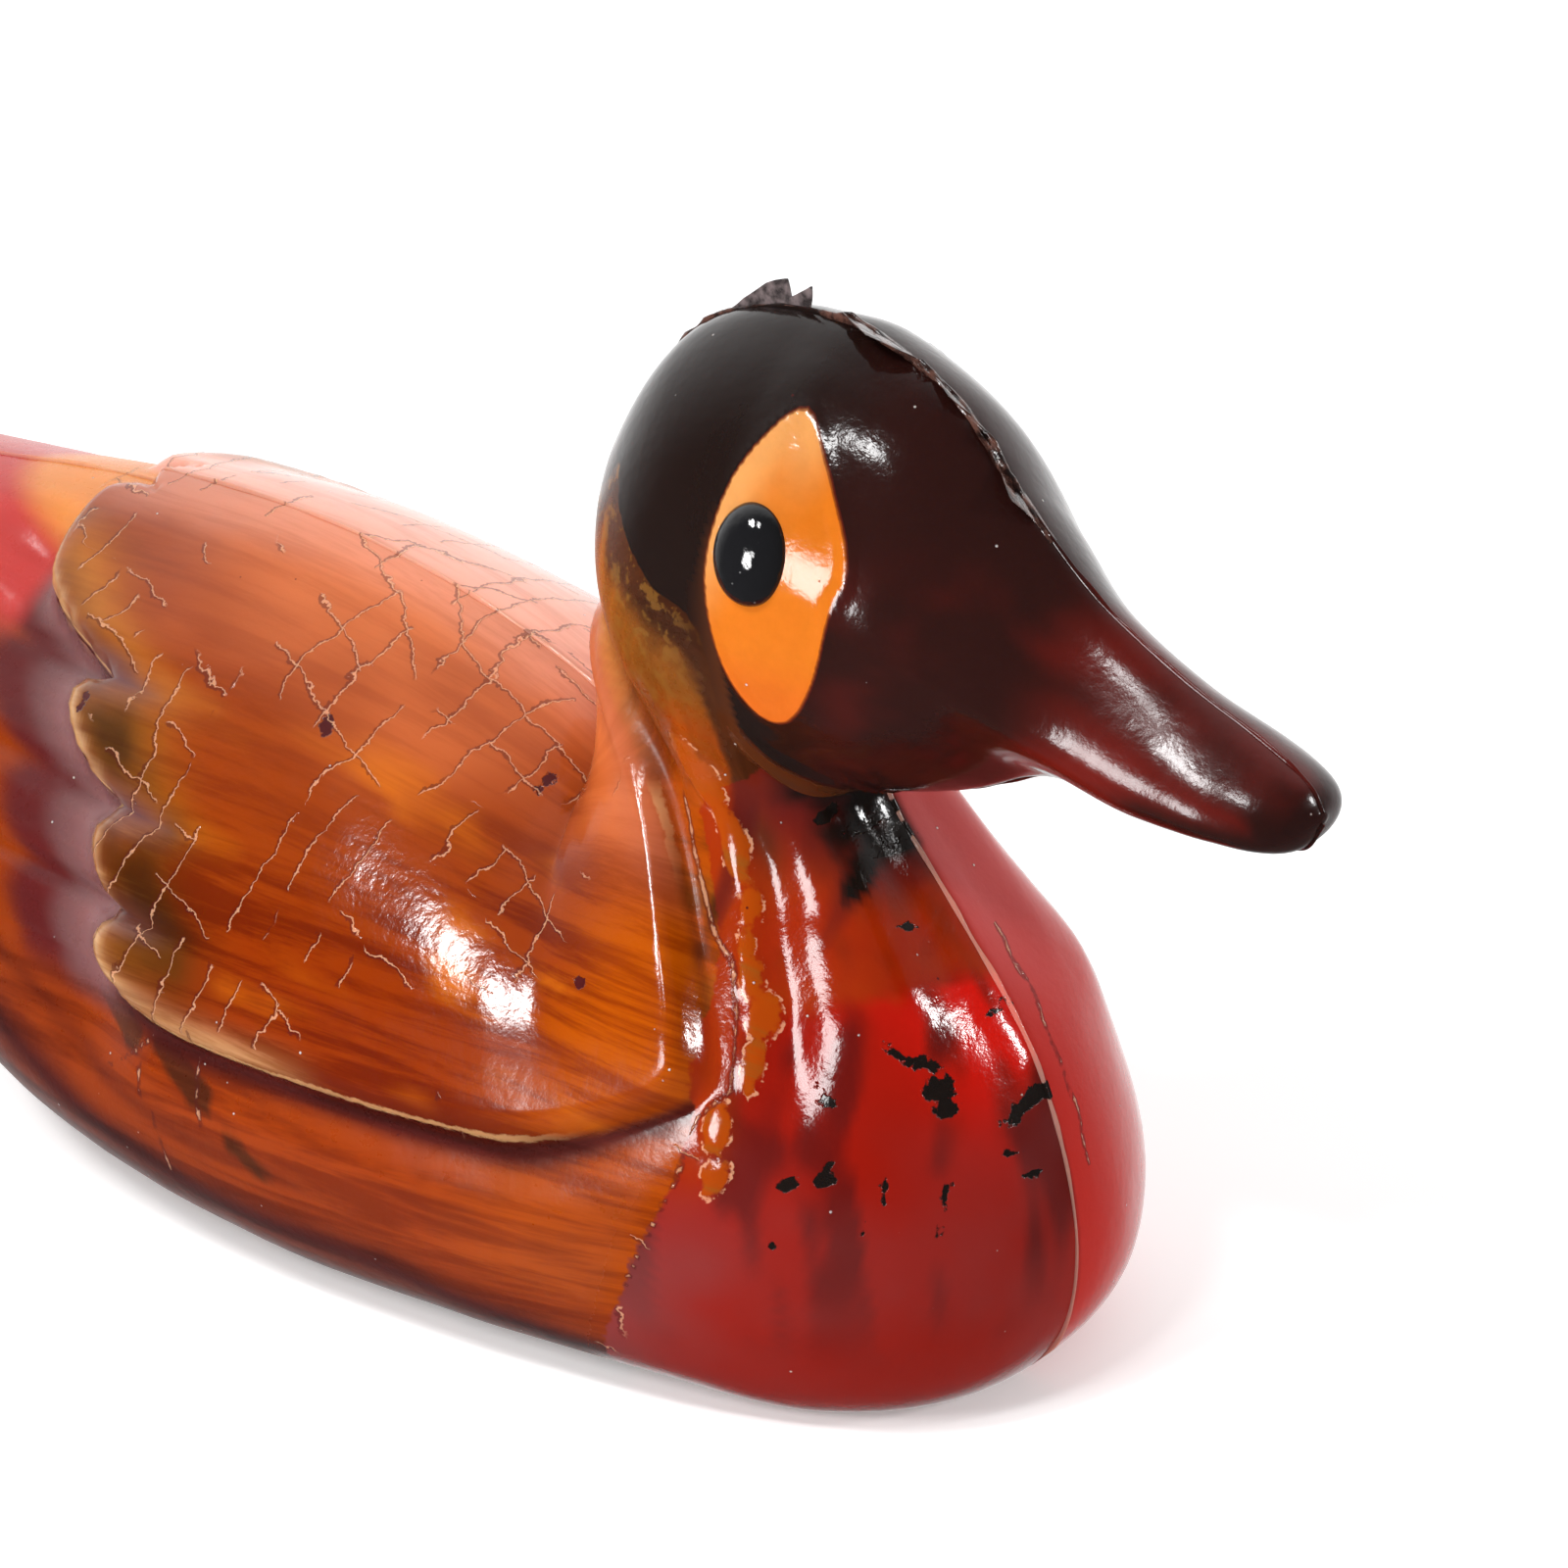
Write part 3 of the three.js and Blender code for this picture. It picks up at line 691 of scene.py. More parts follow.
def body_colours(points, fields, hue):
    """Light and streak colours of the amber, the breast's and the head's colours, cracks and roughness."""
    x, y, z = np.moveaxis(points, -1, 0)
    cloud = layered_lumps(points * (0.5, 1, 1), 6, 11)
    small = layered_lumps(points * (0.6, 1, 1), 2.6, 21)
    at = SimpleNamespace(points=points, x=x, y=y, z=z, off=np.abs(y), cloud=cloud, small=small, **fields)
    off_wing = below(at.wing, -0.3, 0.3)
    on_neck = above(x, 8, 9.5) * below(at.wing, -0.8, 0.6) * above(z, 20, 22)
    neck = neck_colours(at, hue)
    light, streak = (
        painted(wing, (side, off_wing), (neck * tone, on_neck))
        for wing, side, tone in zip(wing_colours(at, hue), side_colours(at, hue), (1, 0.55)))
    return {
        "light": light, "streak": streak, "red": breast_colours(at, hue), "ink": head_colours(at, hue),
        "cracks": crack_strength(at), "satin": satin_finish(at),
    }


def grain(points):
    """Streak coordinates: length along the duck, and the angle round its long axis times a radius."""
    x, y, z = np.moveaxis(points, -1, 0)
    return np.stack([x, GRAIN_RADIUS * np.arctan2(y, z - GRAIN_AXIS), 0 * x], axis=-1)


def crack_places(points):
    """Coordinates across the two families of cracks, each bent by soft noise, and where each family shows."""
    x, around = np.moveaxis(grain(points), -1, 0)[:2]
    up = CRACK_START - np.abs(around)
    bend = [1.3 * lumps(points, 7, 81 + k) + 0.5 * lumps(points, 1.7, 91 + k) for k in range(2)]
    places = np.stack([x - 0.15 * up + bend[0], up + 0.4 * x + bend[1], 0 * x], axis=-1)
    patches = [lumps(points, 3.2, 95 + k) + 0.4 * lumps(points, 9, 97 + k) for k in range(2)]
    return places, np.stack([*(above(patch, -0.12, 0.12) for patch in patches), 0 * x], axis=-1)


def neck_relief(points):
    """The neck's upright column and the valley between it and the wing: two bell curves across its flank."""
    x, y, z = np.moveaxis(points, -1, 0)
    flank_x, flank_z = np.transpose(NECK_FLANK)
    across = 1.35 * (x - np.interp(z, flank_z, flank_x))
    reach = above(z, 15, 24) * below(z, 36, 40) * above(np.abs(y), 2, 6)
    return reach * (0.75 * bell(across, 3.0, 2.9) - 0.58 * bell(across, -2.6, 2.1))


def fine_relief(points, fields, sizes):
    """Casting marks: the step at the jaw, the eye patch's rim, the run-over amber and uneven resin."""
    x, _, z = np.moveaxis(points, -1, 0)
    head, patch = fields["head"], fields["patch"]
    jaw = sizes.jaw_step / MM * above(head, -0.4, 0.4) * above(x, 23.0, 27.0)
    lip = 0.3 * (bell(head, 0.3, 0.45) + bell(head, 2.0, 0.4)) * above(x, 24.0, 28.0) * below(x, 34.0, 38.0)
    rim = 0.14 * bell(patch, 0.1, 0.3) - 0.14 * above(patch, 0.1, 0.9)
    flow = 0.16 * above(fields["lobes"], -0.15, 0.35) + neck_relief(points)
    uneven = 0.16 * lumps(points, 11, 1) + 0.06 * lumps(points, 4.5, 2) + 0.012 * lumps(points, 1.6, 3)
    uneven *= 1 - 0.3 * above(head, -1, 1)
    return (jaw + lip + rim + flow + uneven) * above(z, 0.2, 2.0)


# Meshes


def store(mesh, name, values):
    """Stores a number, a place or a colour for each point of the mesh."""
    kinds = {1: ("FLOAT", "value"), 2: ("FLOAT_VECTOR", "vector")}
    kind, key = kinds[values.ndim]
    layer = mesh.attributes.new(name, kind, "POINT")
    layer.data.foreach_set(key, np.ascontiguousarray(values, dtype=np.float32).ravel())


def new_piece(name, points, faces, material, marks=None):
    """A smooth-shaded mesh object at the origin, from points in millimetres."""
    mesh = bpy.data.meshes.new(name)
    mesh.from_pydata((points.reshape(-1, 3) * MM).tolist(), [], faces)
    for key, values in (marks or {}).items():
        store(mesh, key, values)
    mesh.polygons.foreach_set("use_smooth", np.ones(len(mesh.polygons), bool))
    mesh.materials.append(material)
    mesh.update()
    piece = bpy.data.objects.new(name, mesh)
    bpy.context.scene.collection.objects.link(piece)
    return piece


def closed_skin(name, rings, material, marks=None):
    """A closed surface over rings of points; the first and the last ring each meet in a middle point.

    Marks are given for the points of the rings, and a middle point takes those of its ring's first point.
    """
    count, total = rings.shape[1], rings.shape[0] * rings.shape[1]
    ends = rings[[0, -1]].mean(axis=1)
    points = np.vstack([ends[:1], rings.reshape(-1, 3), ends[1:]])
    ring, k = np.meshgrid(np.arange(len(rings) - 1), np.arange(count), indexing="ij")
    here, after = 1 + ring * count + k, 1 + ring * count + (k + 1) % count
    faces = np.stack([here, after, after + count, here + count], -1).reshape(-1, 4).tolist()
    k = np.arange(count)
    first, last = 1 + k, 1 + total - count + k
    faces += np.stack([np.zeros(count, int), np.roll(first, -1), first], 1).tolist()
    faces += np.stack([np.full(count, total + 1), last, np.roll(last, -1)], 1).tolist()
    spread = {}
    for key, values in (marks or {}).items():
        flat = values.reshape(total, *values.shape[2:])
        spread[key] = np.concatenate([flat[:1], flat, flat[-1:]])
    return new_piece(name, points, faces, material, spread)


def duck_piece(piece, replaced=None):
    """Fixes a piece to the duck, and hides the solid that it stands for."""
    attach(piece, BODY)
    if replaced:
        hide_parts(replaced)


def skin(sizes, hue):
    """The casting's rings, the smooth body moved outwards by its relief, and what its material reads."""
    angles = ring_angles(SKIN_HALF_RING)
    smooth = body_points(ring_places(SKIN_RINGS), angles)
    fields = edge_fields(smooth)
    relief = wing_relief(smooth, sizes) + fine_relief(smooth, fields, sizes)
    rings = smooth + outward(smooth) * relief[..., None]
    rings[..., 2] = np.maximum(rings[..., 2], 0)
    marks = fields | body_colours(smooth, fields, hue) | {"grain": grain(smooth)}
    marks["crack_places"], shown = crack_places(smooth)
    marks["cracks_shown"] = shown * marks.pop("cracks")[..., None]
    return rings, marks


def tints(group):
    """The colour settings as arrays, by their names."""
    return SimpleNamespace(**{name: np.array(getattr(group, name)) for name in type(group).__annotations__})


def out_of(path, side):
    """Outward directions along a path in the middle plane."""
    ahead = np.gradient(path, axis=0)
    out = np.stack([-ahead[:, 2], 0 * ahead[:, 1], ahead[:, 0]], axis=1) * side
    return out / np.maximum(np.linalg.norm(out, axis=1, keepdims=True), 1e-9)


def ridge(path, out, height, width, lean):
    """A thin ridge along a path: at each place a loop of points, an ellipse's upper half over a sunk foot.

    The loop's top stands this high along the outward direction and leans sideways with its height.
    """
    turn = np.linspace(-0.5 * np.pi, 1.5 * np.pi, RIDGE_RING, endpoint=False)
    rise = np.maximum(np.sin(turn), 0)
    up = rise * height[:, None] - SEAM_FOOT * (np.sin(turn) <= 0)
    across = np.cos(turn) * width[:, None] / 2 * (1 - 0.5 * rise)
    sideways = across + lean[:, None] * np.maximum(up, 0)
    return path[:, None] + out[:, None] * up[..., None] + np.array((0, 1, 0)) * sideways[..., None]


def blades(rows, path, out):
    """Torn flakes that stand on a path: each is a flat oval that narrows to its top by a power, and leans."""
    turn = np.linspace(0, 2 * np.pi, BLADE_RING, endpoint=False)
    rise = np.linspace(0, 1, BLADE_RINGS)[:, None]
    x, _, z = path.T
    for at, length, height, forward, sideways, blunt in rows:
        k = np.argmin(np.where(z > CROWN_LOWEST, np.abs(x - at), np.inf))
        ahead = path[k + 1] - path[k - 1]
        ahead /= np.linalg.norm(ahead)
        taper = (1 - rise**blunt) * 0.94 + 0.06
        along = length / 2 * taper * np.cos(turn) + forward * rise
        torn = 1 + 0.22 * lumps(np.stack([along, 0 * along, 0 * along + at], axis=-1), 0.8, 77)
        across = 0.07 * (1.3 - rise) * np.sin(turn) + sideways * rise**2 * torn
        up = ((height + BLADE_FOOT) * rise - BLADE_FOOT) * torn
        moves = ((ahead, along), ((0, 1, 0), across), (out[k], up))
        yield path[k] + sum(np.array(way) * amount[..., None] for way, amount in moves)


# Materials


class Nodes:
    """A tree of nodes, added left to right by what they work out."""

    def __init__(self, tree):
        self.nodes = tree.nodes
        self.links = tree.links

    def add(self, kind, settings=None, **inputs):
        """One shader node; each input is a socket or a value, by its name with spaces as underscores."""
        node = self.nodes.new("ShaderNode" + kind)
        for key, value in (settings or {}).items():
            setattr(node, key, value)
        for key, value in inputs.items():
            self.put(node.inputs[key.replace("_", " ")], value)
        return node

    def put(self, socket, value):
        """Links a socket or sets its value."""
        if isinstance(value, bpy.types.NodeSocket):
            self.links.new(value, socket)
        elif hasattr(socket.default_value, "__len__") and len(socket.default_value) == 4:
            socket.default_value = (*value, 1.0)[:4]
        else:
            socket.default_value = value

    def math(self, operation, *numbers):
        """A number from up to three numbers."""
        node = self.add("Math", {"operation": operation})
        for socket, value in zip(node.inputs, numbers):
            self.put(socket, value)
        return node.outputs[0]

    def times(self, product, *others):
        """Numbers multiplied by one another."""
        for other in others:
            product = self.math("MULTIPLY", product, other)
        return product

    def step(self, value, low, high, start=0.0, end=1.0):
        """A smooth step of a number from start to end between low and high."""
        node = self.add("MapRange", {"interpolation_type": "SMOOTHSTEP"}, Value=value,
                        From_Min=low, From_Max=high, To_Min=start, To_Max=end)
        return node.outputs["Result"]

    def split(self, vector):
        """The three numbers of a place."""
        return self.add("SeparateXYZ", Vector=vector).outputs

    def mapped(self, vector, scale):
        """A place scaled along each axis."""
        return self.add("Mapping", Vector=vector, Scale=scale).outputs[0]


class Shader(Nodes):
    """A material's nodes."""

    def __init__(self, name):
        self.material = bpy.data.materials.new(name)
        self.material.use_nodes = True
        super().__init__(self.material.node_tree)
        self.nodes.clear()

    def stored(self, name, kind="Fac"):
        """A number, or a Color or Vector, stored on the mesh."""
        return self.add("Attribute", {"attribute_name": name}).outputs[kind]

    def mix(self, factor, under, over):
        """One colour over another."""
        node = self.add("Mix", {"data_type": "RGBA"})
        for index, value in ((0, factor), (6, under), (7, over)):
            self.put(node.inputs[index], value)
        return node.outputs[2]

    def place(self):
        """The piece's own coordinates in millimetres."""
        return self.mapped(self.add("TexCoord").outputs["Object"], [1 / MM] * 3)

    def noise(self, vector, scale, detail=3.0, roughness=0.5, distortion=0.0, dimensions="3D"):
        """Soft noise between 0 and 1."""
        node = self.add("TexNoise", {"noise_dimensions": dimensions}, Vector=vector, Scale=scale,
                        Detail=detail, Roughness=roughness, Distortion=distortion)
        return node.outputs["Fac"]

    def scaled(self, colour, factor):
        """A colour made lighter or darker by a factor."""
        node = self.add("VectorMath", {"operation": "SCALE"}, Scale=factor)
        self.put(node.inputs[0], colour)
        return node.outputs[0]

    def line(self, distance, middle, half, strength=1.0):
        """A line of this half width where a distance has the middle value, faded at both sides."""
        off = self.math("ABSOLUTE", self.math("SUBTRACT", distance, middle))
        return self.step(off, half * 0.4, half, start=strength, end=0.0)

    def dots(self, vector, scale, full, none):
        """Dots, full up to one radius and gone from another, and the random number of each one's cell."""
        cells = self.add("TexVoronoi", Vector=vector, Scale=scale).outputs
        lot = self.add("SeparateColor", Color=cells["Color"]).outputs[0]
        return self.step(cells["Distance"], full, none, start=1.0, end=0.0), lot

    def bump(self, height, depth, strength):
        """Fine relief, this many millimetres deep."""
        node = self.add("Bump", Height=height, Distance=depth * MM, Strength=strength)
        return node.outputs[0]

    def finish(self, **inputs):
        """The Principled shader with these inputs, joined to the output."""
        shader = self.add("BsdfPrincipled", **inputs)
        self.add("OutputMaterial", Surface=shader.outputs[0])
        return self.material


class Resin(Shader):
    """The casting's resin: colours laid over one another, then cracks, bubbles and dust."""

    def __init__(self, name, hue):
        super().__init__(name)
        self.hue = hue
        self.mm = self.place()
        self.length, _, self.height = self.split(self.mm)
        self.rough = self.math("SUBTRACT", self.noise(self.mm, 1.0, roughness=0.62), 0.5)
        along = self.mapped(self.stored("grain", "Vector"), (0.045, 0.56, 1.0))
        self.streaks = self.noise(along, 1.0, detail=6.0, roughness=0.66, distortion=0.25, dimensions="2D")
        self.colour = self.stored("streak", "Color")
        self.lay(self.step(self.streaks, 0.37, 0.60), self.stored("light", "Color"))

    def lay(self, weight, colour):
        """Lays a colour over what is there."""
        self.colour = self.mix(weight, self.colour, colour)

    def ragged(self, name, amount):
        """The distance inside an area, made ragged by this many millimetres of soft noise."""
        return self.math("MULTIPLY_ADD", self.rough, amount, self.stored(name))

    def feather_tips(self):
        """Painted shade in the crevice along the rims of the feather tips, and a pale line on the wing's
        edge.
        """
        wing = self.ragged("wing", 0.5)
        below_back = self.step(self.height, 35.5, 34.0)
        at_rear = self.times(self.step(self.length, -2.0, -8.0), below_back)
        broken = self.step(self.streaks, 0.62, 0.45, start=0.35)
        # Painted shade: a broken dark line just outside the rims of the tips
        self.lay(self.times(self.line(wing, -0.55, 0.28, strength=0.95), broken, at_rear), self.hue.maroon)
        off_front = self.times(self.step(self.length, 22.0, 16.0), below_back)
        self.lay(self.times(self.line(wing, 0.0, 0.22, strength=0.6), off_front), self.hue.rim)

    def breast(self):
        """Red breast, and over it the gold lobes with a pale broken edge."""
        self.lay(self.step(self.ragged("breast", 1.2), -0.15, 0.15), self.stored("red", "Color"))
        lobes = self.ragged("lobes", 0.9)
        gold = self.mix(self.step(self.streaks, 0.30, 0.55), self.hue.nape_olive, self.hue.neck)
        self.lay(self.step(lobes, 0.0, 0.22, end=0.8), gold)
        edge = self.times(self.line(lobes, 0.05, 0.10, strength=0.5), self.step(self.rough, 0.0, 0.10))
        self.lay(edge, self.hue.crack)

    def chips(self):
        """Chips, maroon on the wing and black in the breast."""
        chip = self.step(self.ragged("chips", 0.75), -0.03, 0.03)
        self.lay(chip, self.mix(self.step(self.length, 22.0, 26.0), self.hue.maroon, self.hue.black))
        return chip

    def head(self):
        """Olive specks below the head's edge at the nape, then the head and the bill."""
        specks = self.times(
            self.step(self.rough, 0.02, 0.10), self.step(self.stored("head"), -12.0, -3.0, end=0.5),
            self.step(self.length, 24.0, 20.0), self.step(self.height, 38.0, 42.0))
        self.lay(specks, self.hue.speck)
        self.lay(self.step(self.ragged("head", 0.5), -0.08, 0.08), self.stored("ink", "Color"))

    def eye_patch(self):
        """Orange patch with cream along its upper rear rim, a deeper foot and a thin dark line round it."""
        across = self.math("MULTIPLY_ADD", self.length, -1.5, self.height)
        near_rim = self.step(self.stored("patch"), 3.2, 0.3, start=0.25)
        creamy = self.times(self.step(across, 11.0, 19.0), near_rim)
        orange = self.mix(creamy, self.hue.patch, self.hue.cream)
        orange = self.mix(self.step(self.height, 48.0, 44.0, end=0.55), orange, self.hue.patch_low)
        orange = self.scaled(orange, self.step(self.rough, -0.3, 0.3, start=0.94, end=1.03))
        patch = self.ragged("patch", 0.12)
        self.lay(self.step(patch, -0.05, 0.05), orange)
        self.lay(self.line(patch, 0.0, 0.14, strength=0.7), self.hue.patch_rim)

    def cracks(self):
        """Raised cracks: a few long ones and two families of broken lines, each with painted shadow beside
        it.
        """
        long_cracks = self.ragged("long_cracks", 0.5)
        raised = self.step(long_cracks, 0.03, 0.11, start=0.85, end=0.0)
        # Painted shadow: a dark band round each long crack
        dark = self.step(long_cracks, 0.13, 0.24, start=1.0, end=0.0)
        on_amber = self.times(
            self.step(self.ragged("head", 0.5), 0.0, -0.5), self.step(self.stored("breast"), 1.6, 0.4))
        places = self.split(self.stored("crack_places", "Vector"))
        shown = self.split(self.stored("cracks_shown", "Vector"))
        for place, show, spacing in zip(places, shown, CRACK_SPACINGS):
            bent = self.math("MULTIPLY_ADD", self.rough, 1.1, place)
            off = self.math("WRAP", bent, spacing / 2, -spacing / 2)
            visible = self.times(self.step(show, 0.35, 0.6), on_amber)
            raised = self.math("MAXIMUM", raised, self.times(self.line(off, 0.0, 0.075), visible))
            # Painted shadow on one side of each short crack
            dark = self.math("MAXIMUM", dark, self.times(self.line(off, -0.12, 0.11), visible))
        self.lay(self.times(dark, 0.55), self.hue.maroon)
        self.lay(self.times(raised, 0.5), self.hue.crack)
        return raised

    def dust(self):
        """Pale raised bubbles and dust, and dark pits."""
        dot, lot = self.dots(self.mm, 0.62, 0.035, 0.065)
        dust = self.times(dot, self.math("LESS_THAN", lot, 0.30))
        self.lay(self.times(dust, 0.6), self.hue.dust)
        self.lay(self.times(dot, self.math("GREATER_THAN", lot, 0.93), 0.9), self.hue.maroon)
        return dust


def resin_material(name, hue):
    """Glossy resin with its colours laid in: amber body, red breast, black head, orange patches."""
    resin = Resin(name, hue)
    resin.feather_tips()
    resin.breast()
    chip = resin.chips()
    resin.head()
    resin.eye_patch()
    cracks = resin.cracks()
    relief = resin.times(resin.rough, 0.30)
    for part, height in ((cracks, 0.8), (resin.dust(), 0.9), (chip, -0.5)):
        relief = resin.math("MULTIPLY_ADD", part, height, relief)
    return resin.finish(
        Base_Color=resin.colour, Roughness=resin.ragged("satin", 0.12), Normal=resin.bump(relief, 0.1, 1.0),
        IOR=RESIN_IOR, Specular_IOR_Level=0.27, Subsurface_Weight=0.15, Subsurface_Radius=(1.0, 0.25, 0.08),
        Subsurface_Scale=2.5 * MM)


def bead_material(name, hue):
    """Black glossy bead with a few dust dots."""
    shader = Shader(name)
    mm = shader.place()
    dot, lot = shader.dots(mm, 1.6, 0.06, 0.11)
    dust = shader.times(dot, shader.math("LESS_THAN", lot, 0.35), 0.25)
    colour = shader.mix(dust, hue.bead, hue.bead_dust)
    bump = shader.bump(shader.noise(mm, 1.8, detail=2.0), 0.04, 0.7)
    return shader.finish(Base_Color=colour, Roughness=0.07, IOR=RESIN_IOR, Normal=bump)


def flash_material(name, dark, light):
    """Thin torn resin: smoky, with paler patches."""
    shader = Shader(name)
    noise = shader.noise(shader.place(), 1.4)
    colour = shader.mix(shader.step(noise, 0.35, 0.70), dark, light)
    bump = shader.bump(noise, 0.15, 0.8)
    return shader.finish(
        Base_Color=colour, Roughness=0.12, IOR=RESIN_IOR, Normal=bump, Transmission_Weight=0.25)


def floor_material():
    """Matt pale floor with a little light of its own."""
    shader = Shader("pale_floor")
    grey, pale = ([value] * 3 for value in FLOOR_GREYS)
    colour = shader.mix(shader.noise(shader.place(), 0.02, detail=2.0), grey, pale)
    return shader.finish(
        Base_Color=colour, Roughness=0.8, Emission_Color=(1.0, 1.0, 1.0), Emission_Strength=FLOOR_GLOW)


def material_named(name, make, *args):
    """A material that several pieces share, made once."""
    return bpy.data.materials.get(name) or make(name, *args)


# Operators


def direction(azimuth, elevation):
    """Unit vector from the duck towards a light or the camera."""
    a, e = np.radians(azimuth), np.radians(elevation)
    return Vector((np.sin(a) * np.cos(e), -np.cos(a) * np.cos(e), np.sin(e)))


def aimed(name, data, target, azimuth, elevation, distance):
    """Puts a light or the camera this far from a place, turned towards it."""
    way = direction(azimuth, elevation)
    item = bpy.data.objects.new(name, data)
    item.location = (Vector(target) + way * distance) * MM
    item.rotation_euler = way.to_track_quat("Z", "Y").to_euler()
    bpy.context.scene.collection.objects.link(item)
    return item


class AddStudio(bpy.types.Operator):
    """Add the pale floor, the soft lights, the surround and the camera"""

    bl_idname = "duck.add_studio"
    bl_label = "Add studio"

    def execute(self, context):
        scene = context.scene
        scene.view_settings.view_transform = "Standard"
        self.add_floor()
        for row in LIGHTS:
            self.add_light(*row)
        scene.world = self.surround()
        scene.camera = self.add_camera()
        return {"FINISHED"}

    def add_floor(self):
        """A large flat square under the duck, kept out of its reflections."""
        corners = FLOOR_REACH * np.array([(-1, -1, 0), (1, -1, 0), (1, 1, 0), (-1, 1, 0)])
        floor = new_piece("floor", corners, [(0, 1, 2, 3)], floor_material())
        floor.visible_glossy = False

    def add_light(self, name, azimuth, elevation, distance, width, height, power):
        """A rectangular soft light that points at the duck and fades towards its edges."""
        data = bpy.data.lights.new(name, "AREA")
        data.shape = "RECTANGLE"
        data.size, data.size_y = width * MM, height * MM
        data.energy = power
        data.use_nodes = True
        light = Nodes(data.node_tree)
        sides = light.split(light.add("NewGeometry").outputs["Parametric"])[:2]
        fades = [light.step(light.math("PINGPONG", side, 0.5), 0.0, LIGHT_FADE) for side in sides]
        light.put(light.nodes["Emission"].inputs["Strength"], light.times(*fades))
        aimed(name, data, LIGHT_AIM, azimuth, elevation, distance)

    def surround(self):
        """A white world that is brightest behind the duck and dim in front of it."""
        world = bpy.data.worlds.new("pale_surround")
        world.use_nodes = True
        sky = Nodes(world.node_tree)
        background = sky.nodes["Background"].inputs
        sky.put(background["Color"], (1.0, 1.0, 1.0))
        toward = sky.add("VectorMath", {"operation": "DOT_PRODUCT"})
        sky.put(toward.inputs[0], sky.add("TexCoord").outputs["Generated"])
        sky.put(toward.inputs[1], direction(VIEW_AZIMUTH + 180, SURROUND_ELEVATION))
        strength = sky.step(toward.outputs["Value"], *SURROUND_COSINES, *SURROUND_STRENGTHS)
        sky.put(background["Strength"], strength)
        return world

    def add_camera(self):
        """A long lens from the duck's right front, looking down."""
        data = bpy.data.cameras.new("camera")
        data.sensor_width = SENSOR_WIDTH
        data.lens = VIEW_PIXELS_PER_MM * VIEW_DISTANCE * SENSOR_WIDTH / PICTURE_PIXELS
        data.clip_start = NEAREST_SEEN * MM
        return aimed("camera", data, VIEW_TARGET, VIEW_AZIMUTH, VIEW_ELEVATION, VIEW_DISTANCE)


class AddCasting(bpy.types.Operator):
    """Add the duck's casting: body, wings, tail, neck, head and bill in one skin"""

    bl_idname = "duck.add_casting"
    bl_label = "Add casting"

    def execute(self, context):
        hue = tints(context.scene.duck_colours)
        rings, marks = skin(context.scene.duck_sizes, hue)
        resin = material_named("streaked_resin", resin_material, hue)
        duck_piece(closed_skin("duck_resin_casting", rings, resin, marks), "duck_casting")
        return {"FINISHED"}


class AddEyeBeads(bpy.types.Operator):
    """Add the two black bead eyes"""

    bl_idname = "duck.add_eye_beads"
    bl_label = "Add eye beads"

    def execute(self, context):
        material = material_named("bead_gloss", bead_material, tints(context.scene.duck_colours))
        around = np.linspace(0, 2 * np.pi, BEAD_RING, endpoint=False)[None, :]
        down = np.linspace(0, np.pi, BEAD_RINGS + 2)[1:-1, None]
        ball = np.stack(np.broadcast_arrays(
            np.sin(down) * np.cos(around), np.sin(down) * np.sin(around), -np.cos(down)), axis=-1)
        for side, node in ((1, "left_eye_bead"), (-1, "right_eye_bead")):
            turned = Matrix.Rotation(side * EYE_TURN, 3, "Z") @ Matrix.Rotation(side * EYE_LEAN, 3, "X")
            rings = (ball * EYE_RADII) @ np.array(turned).T + np.array(EYE_PLACE) * (1, side, 1)
            duck_piece(closed_skin(node + "_domed", rings, material), node)
        return {"FINISHED"}


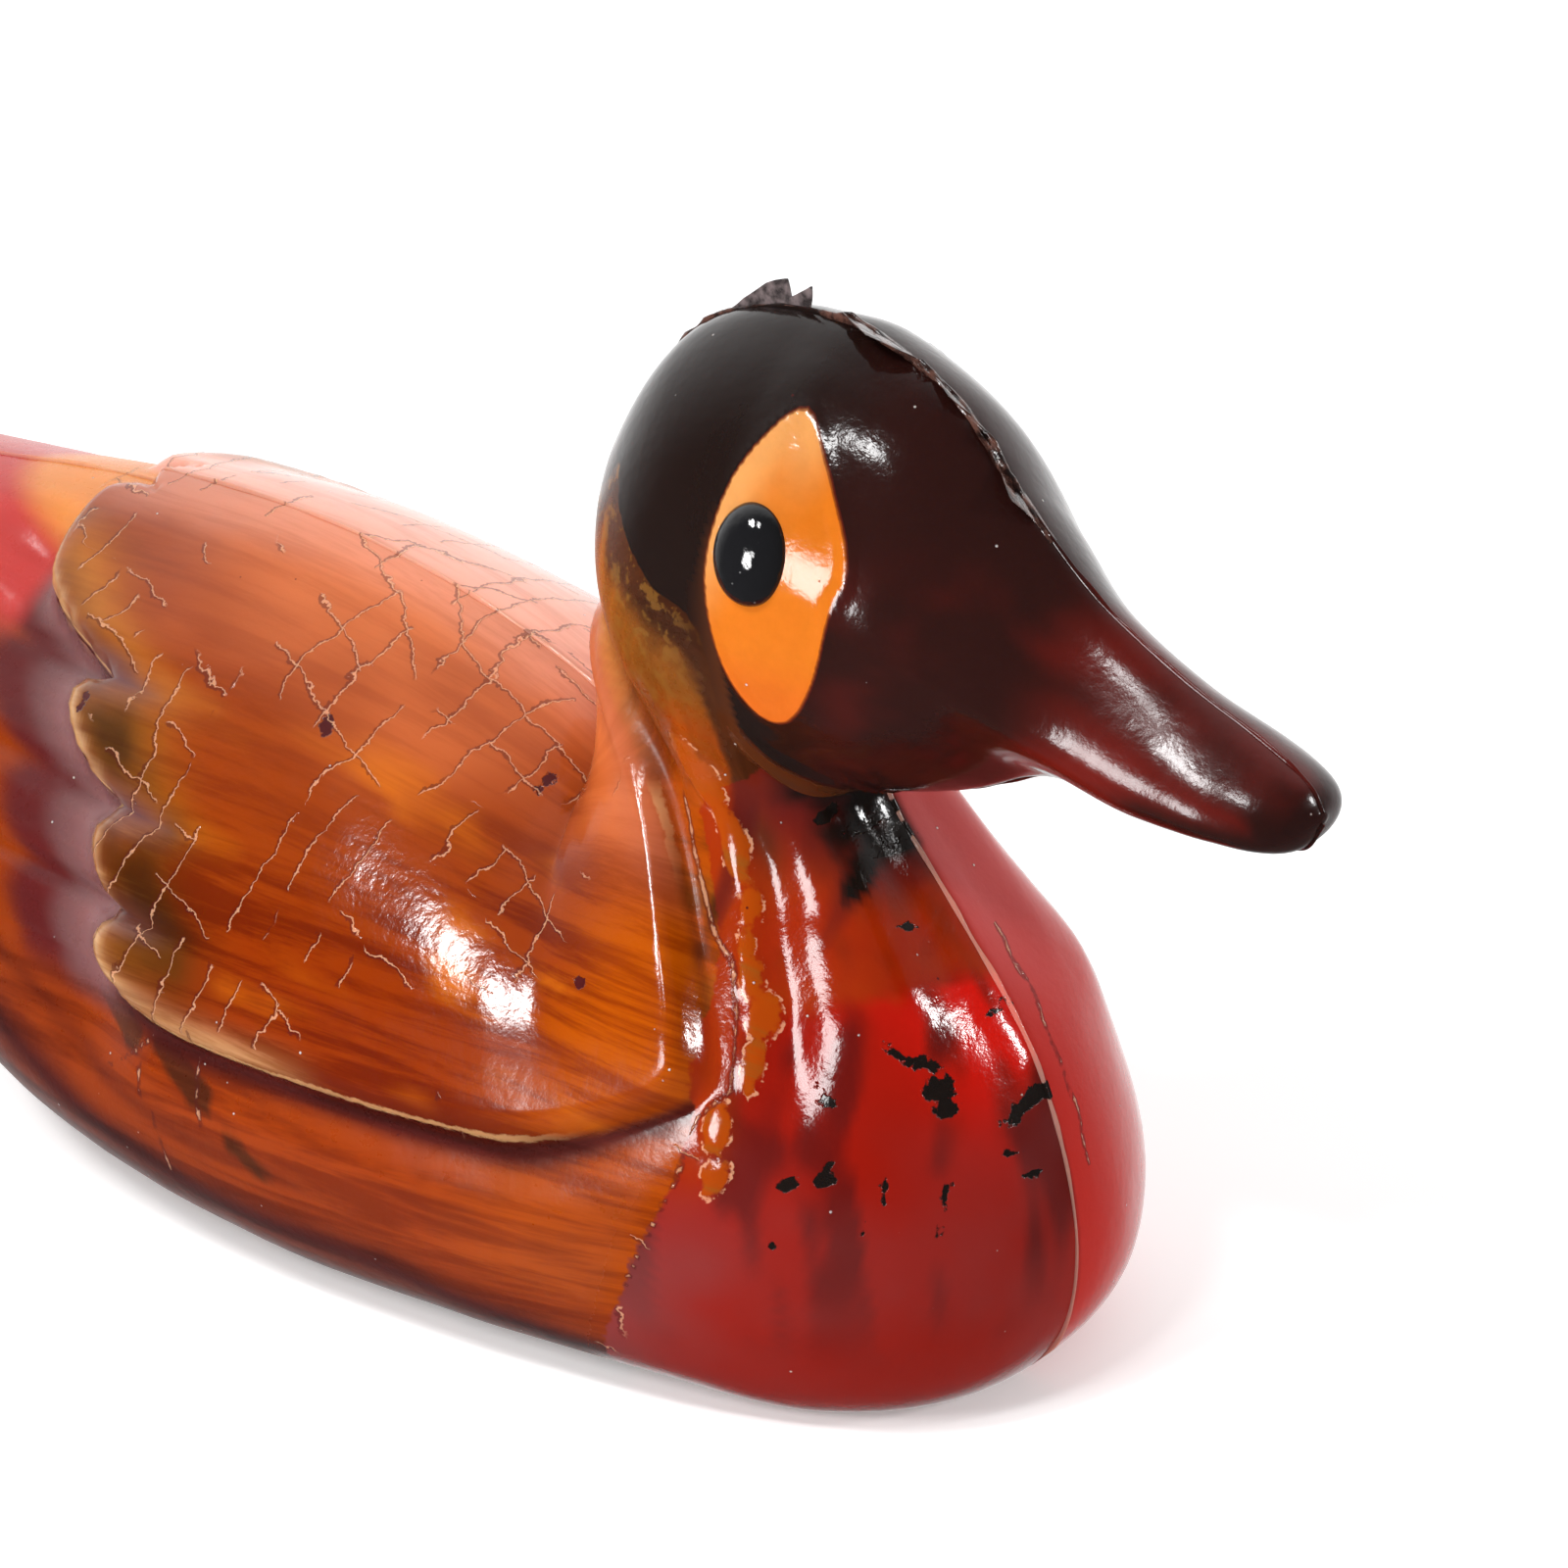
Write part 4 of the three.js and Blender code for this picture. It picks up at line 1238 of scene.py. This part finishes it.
class AddMouldMarks(bpy.types.Operator):
    """Add the parting seam along the back, the head, the bill and the breast, and its torn flash"""

    bl_idname = "duck.add_mould_marks"
    bl_label = "Add mould marks"

    def execute(self, context):
        sizes, hue = context.scene.duck_sizes, tints(context.scene.duck_colours)
        rings, marks = skin(sizes, hue)
        for name, column, start, side in SEAMS:
            beside = {key: values[start:, column] for key, values in marks.items()}
            self.add_seam(name, rings[start:, column], side, beside, sizes, hue)
        self.add_flash(rings[:, SKIN_HALF_RING], hue)
        return {"FINISHED"}

    def add_seam(self, name, path, side, beside, sizes, hue):
        """A fine ridge along a path, with the marks of the skin beside it in a paler tint."""
        wave = lumps(path, 1.6, 61)
        height = sizes.seam_height / MM * (0.8 + 0.5 * wave) * above(path[:, 2], 0.5, 2.5)
        width = sizes.seam_width / MM * (1.0 + 0.3 * wave)
        strip = ridge(path, out_of(path, side), height, width, 0.3 * lumps(path, 4, 62))
        shown = {key: np.repeat(values[:, None], RIDGE_RING, axis=1) for key, values in beside.items()}
        for key in ("light", "streak", "red"):
            shown[key] = painted(shown[key], (hue.seam, np.full(strip.shape[:2], SEAM_TINT)))
        resin = material_named("streaked_resin", resin_material, hue)
        duck_piece(closed_skin(name, strip, resin, shown))

    def add_flash(self, path, hue):
        """Torn flash along the crown, with the fins and flakes that stand on it."""
        torn = material_named("torn_resin", flash_material, hue.torn_dark, hue.torn_light)
        thin = material_named("thin_resin", flash_material, hue.thin_dark, hue.thin_light)
        x, _, z = path.T
        out = out_of(path, 1)
        crown = (x > CROWN_REAR) & (x < CROWN_FRONT) & (z > CROWN_LOWEST)
        height = (0.55 + 0.45 * lumps(path, 0.9, 71)) * np.interp(x, *np.transpose(FLASH_HEIGHTS))
        width = 0.35 + 0.25 * lumps(path, 1.3, 72) + 0.45 * above(x, 23.5, 25)
        lean = -0.7 + 0.5 * lumps(path, 1.8, 73)
        strip = ridge(path[crown], out[crown], height[crown], width[crown], lean[crown])
        duck_piece(closed_skin("crown_flash", strip, torn))
        for label, rows, material in (("crown_fin", FINS, thin), ("crown_flake", FLAKES, torn)):
            for k, blade in enumerate(blades(rows, path, out)):
                duck_piece(closed_skin(f"{label}_{k + 1}", blade, material))


class DuckPanel(bpy.types.Panel):
    """The duck's sizes, colours and pieces."""

    bl_idname = "VIEW3D_PT_duck"
    bl_label = "Mandarin duck sculpture"
    bl_space_type = "VIEW_3D"
    bl_region_type = "UI"
    bl_category = "Duck"

    def draw(self, context):
        for group in (context.scene.duck_sizes, context.scene.duck_colours):
            box = self.layout.box()
            for name in group.bl_rna.properties.keys():
                if name not in {"rna_type", "name"}:
                    box.prop(group, name)
        for operator in OPERATORS:
            self.layout.operator(operator.bl_idname)


OPERATORS = (AddStudio, AddCasting, AddEyeBeads, AddMouldMarks)
CLASSES = (DuckSizes, DuckColours, *OPERATORS, DuckPanel)


def register():
    for item in CLASSES:
        bpy.utils.register_class(item)
    bpy.types.Scene.duck_sizes = bpy.props.PointerProperty(type=DuckSizes)
    bpy.types.Scene.duck_colours = bpy.props.PointerProperty(type=DuckColours)


def unregister():
    del bpy.types.Scene.duck_colours
    del bpy.types.Scene.duck_sizes
    for item in reversed(CLASSES):
        bpy.utils.unregister_class(item)


def main():
    register()
    bpy.ops.duck.add_studio()
    bpy.ops.duck.add_casting()
    bpy.ops.duck.add_eye_beads()
    bpy.ops.duck.add_mould_marks()


if __name__ == "__main__":
    main()
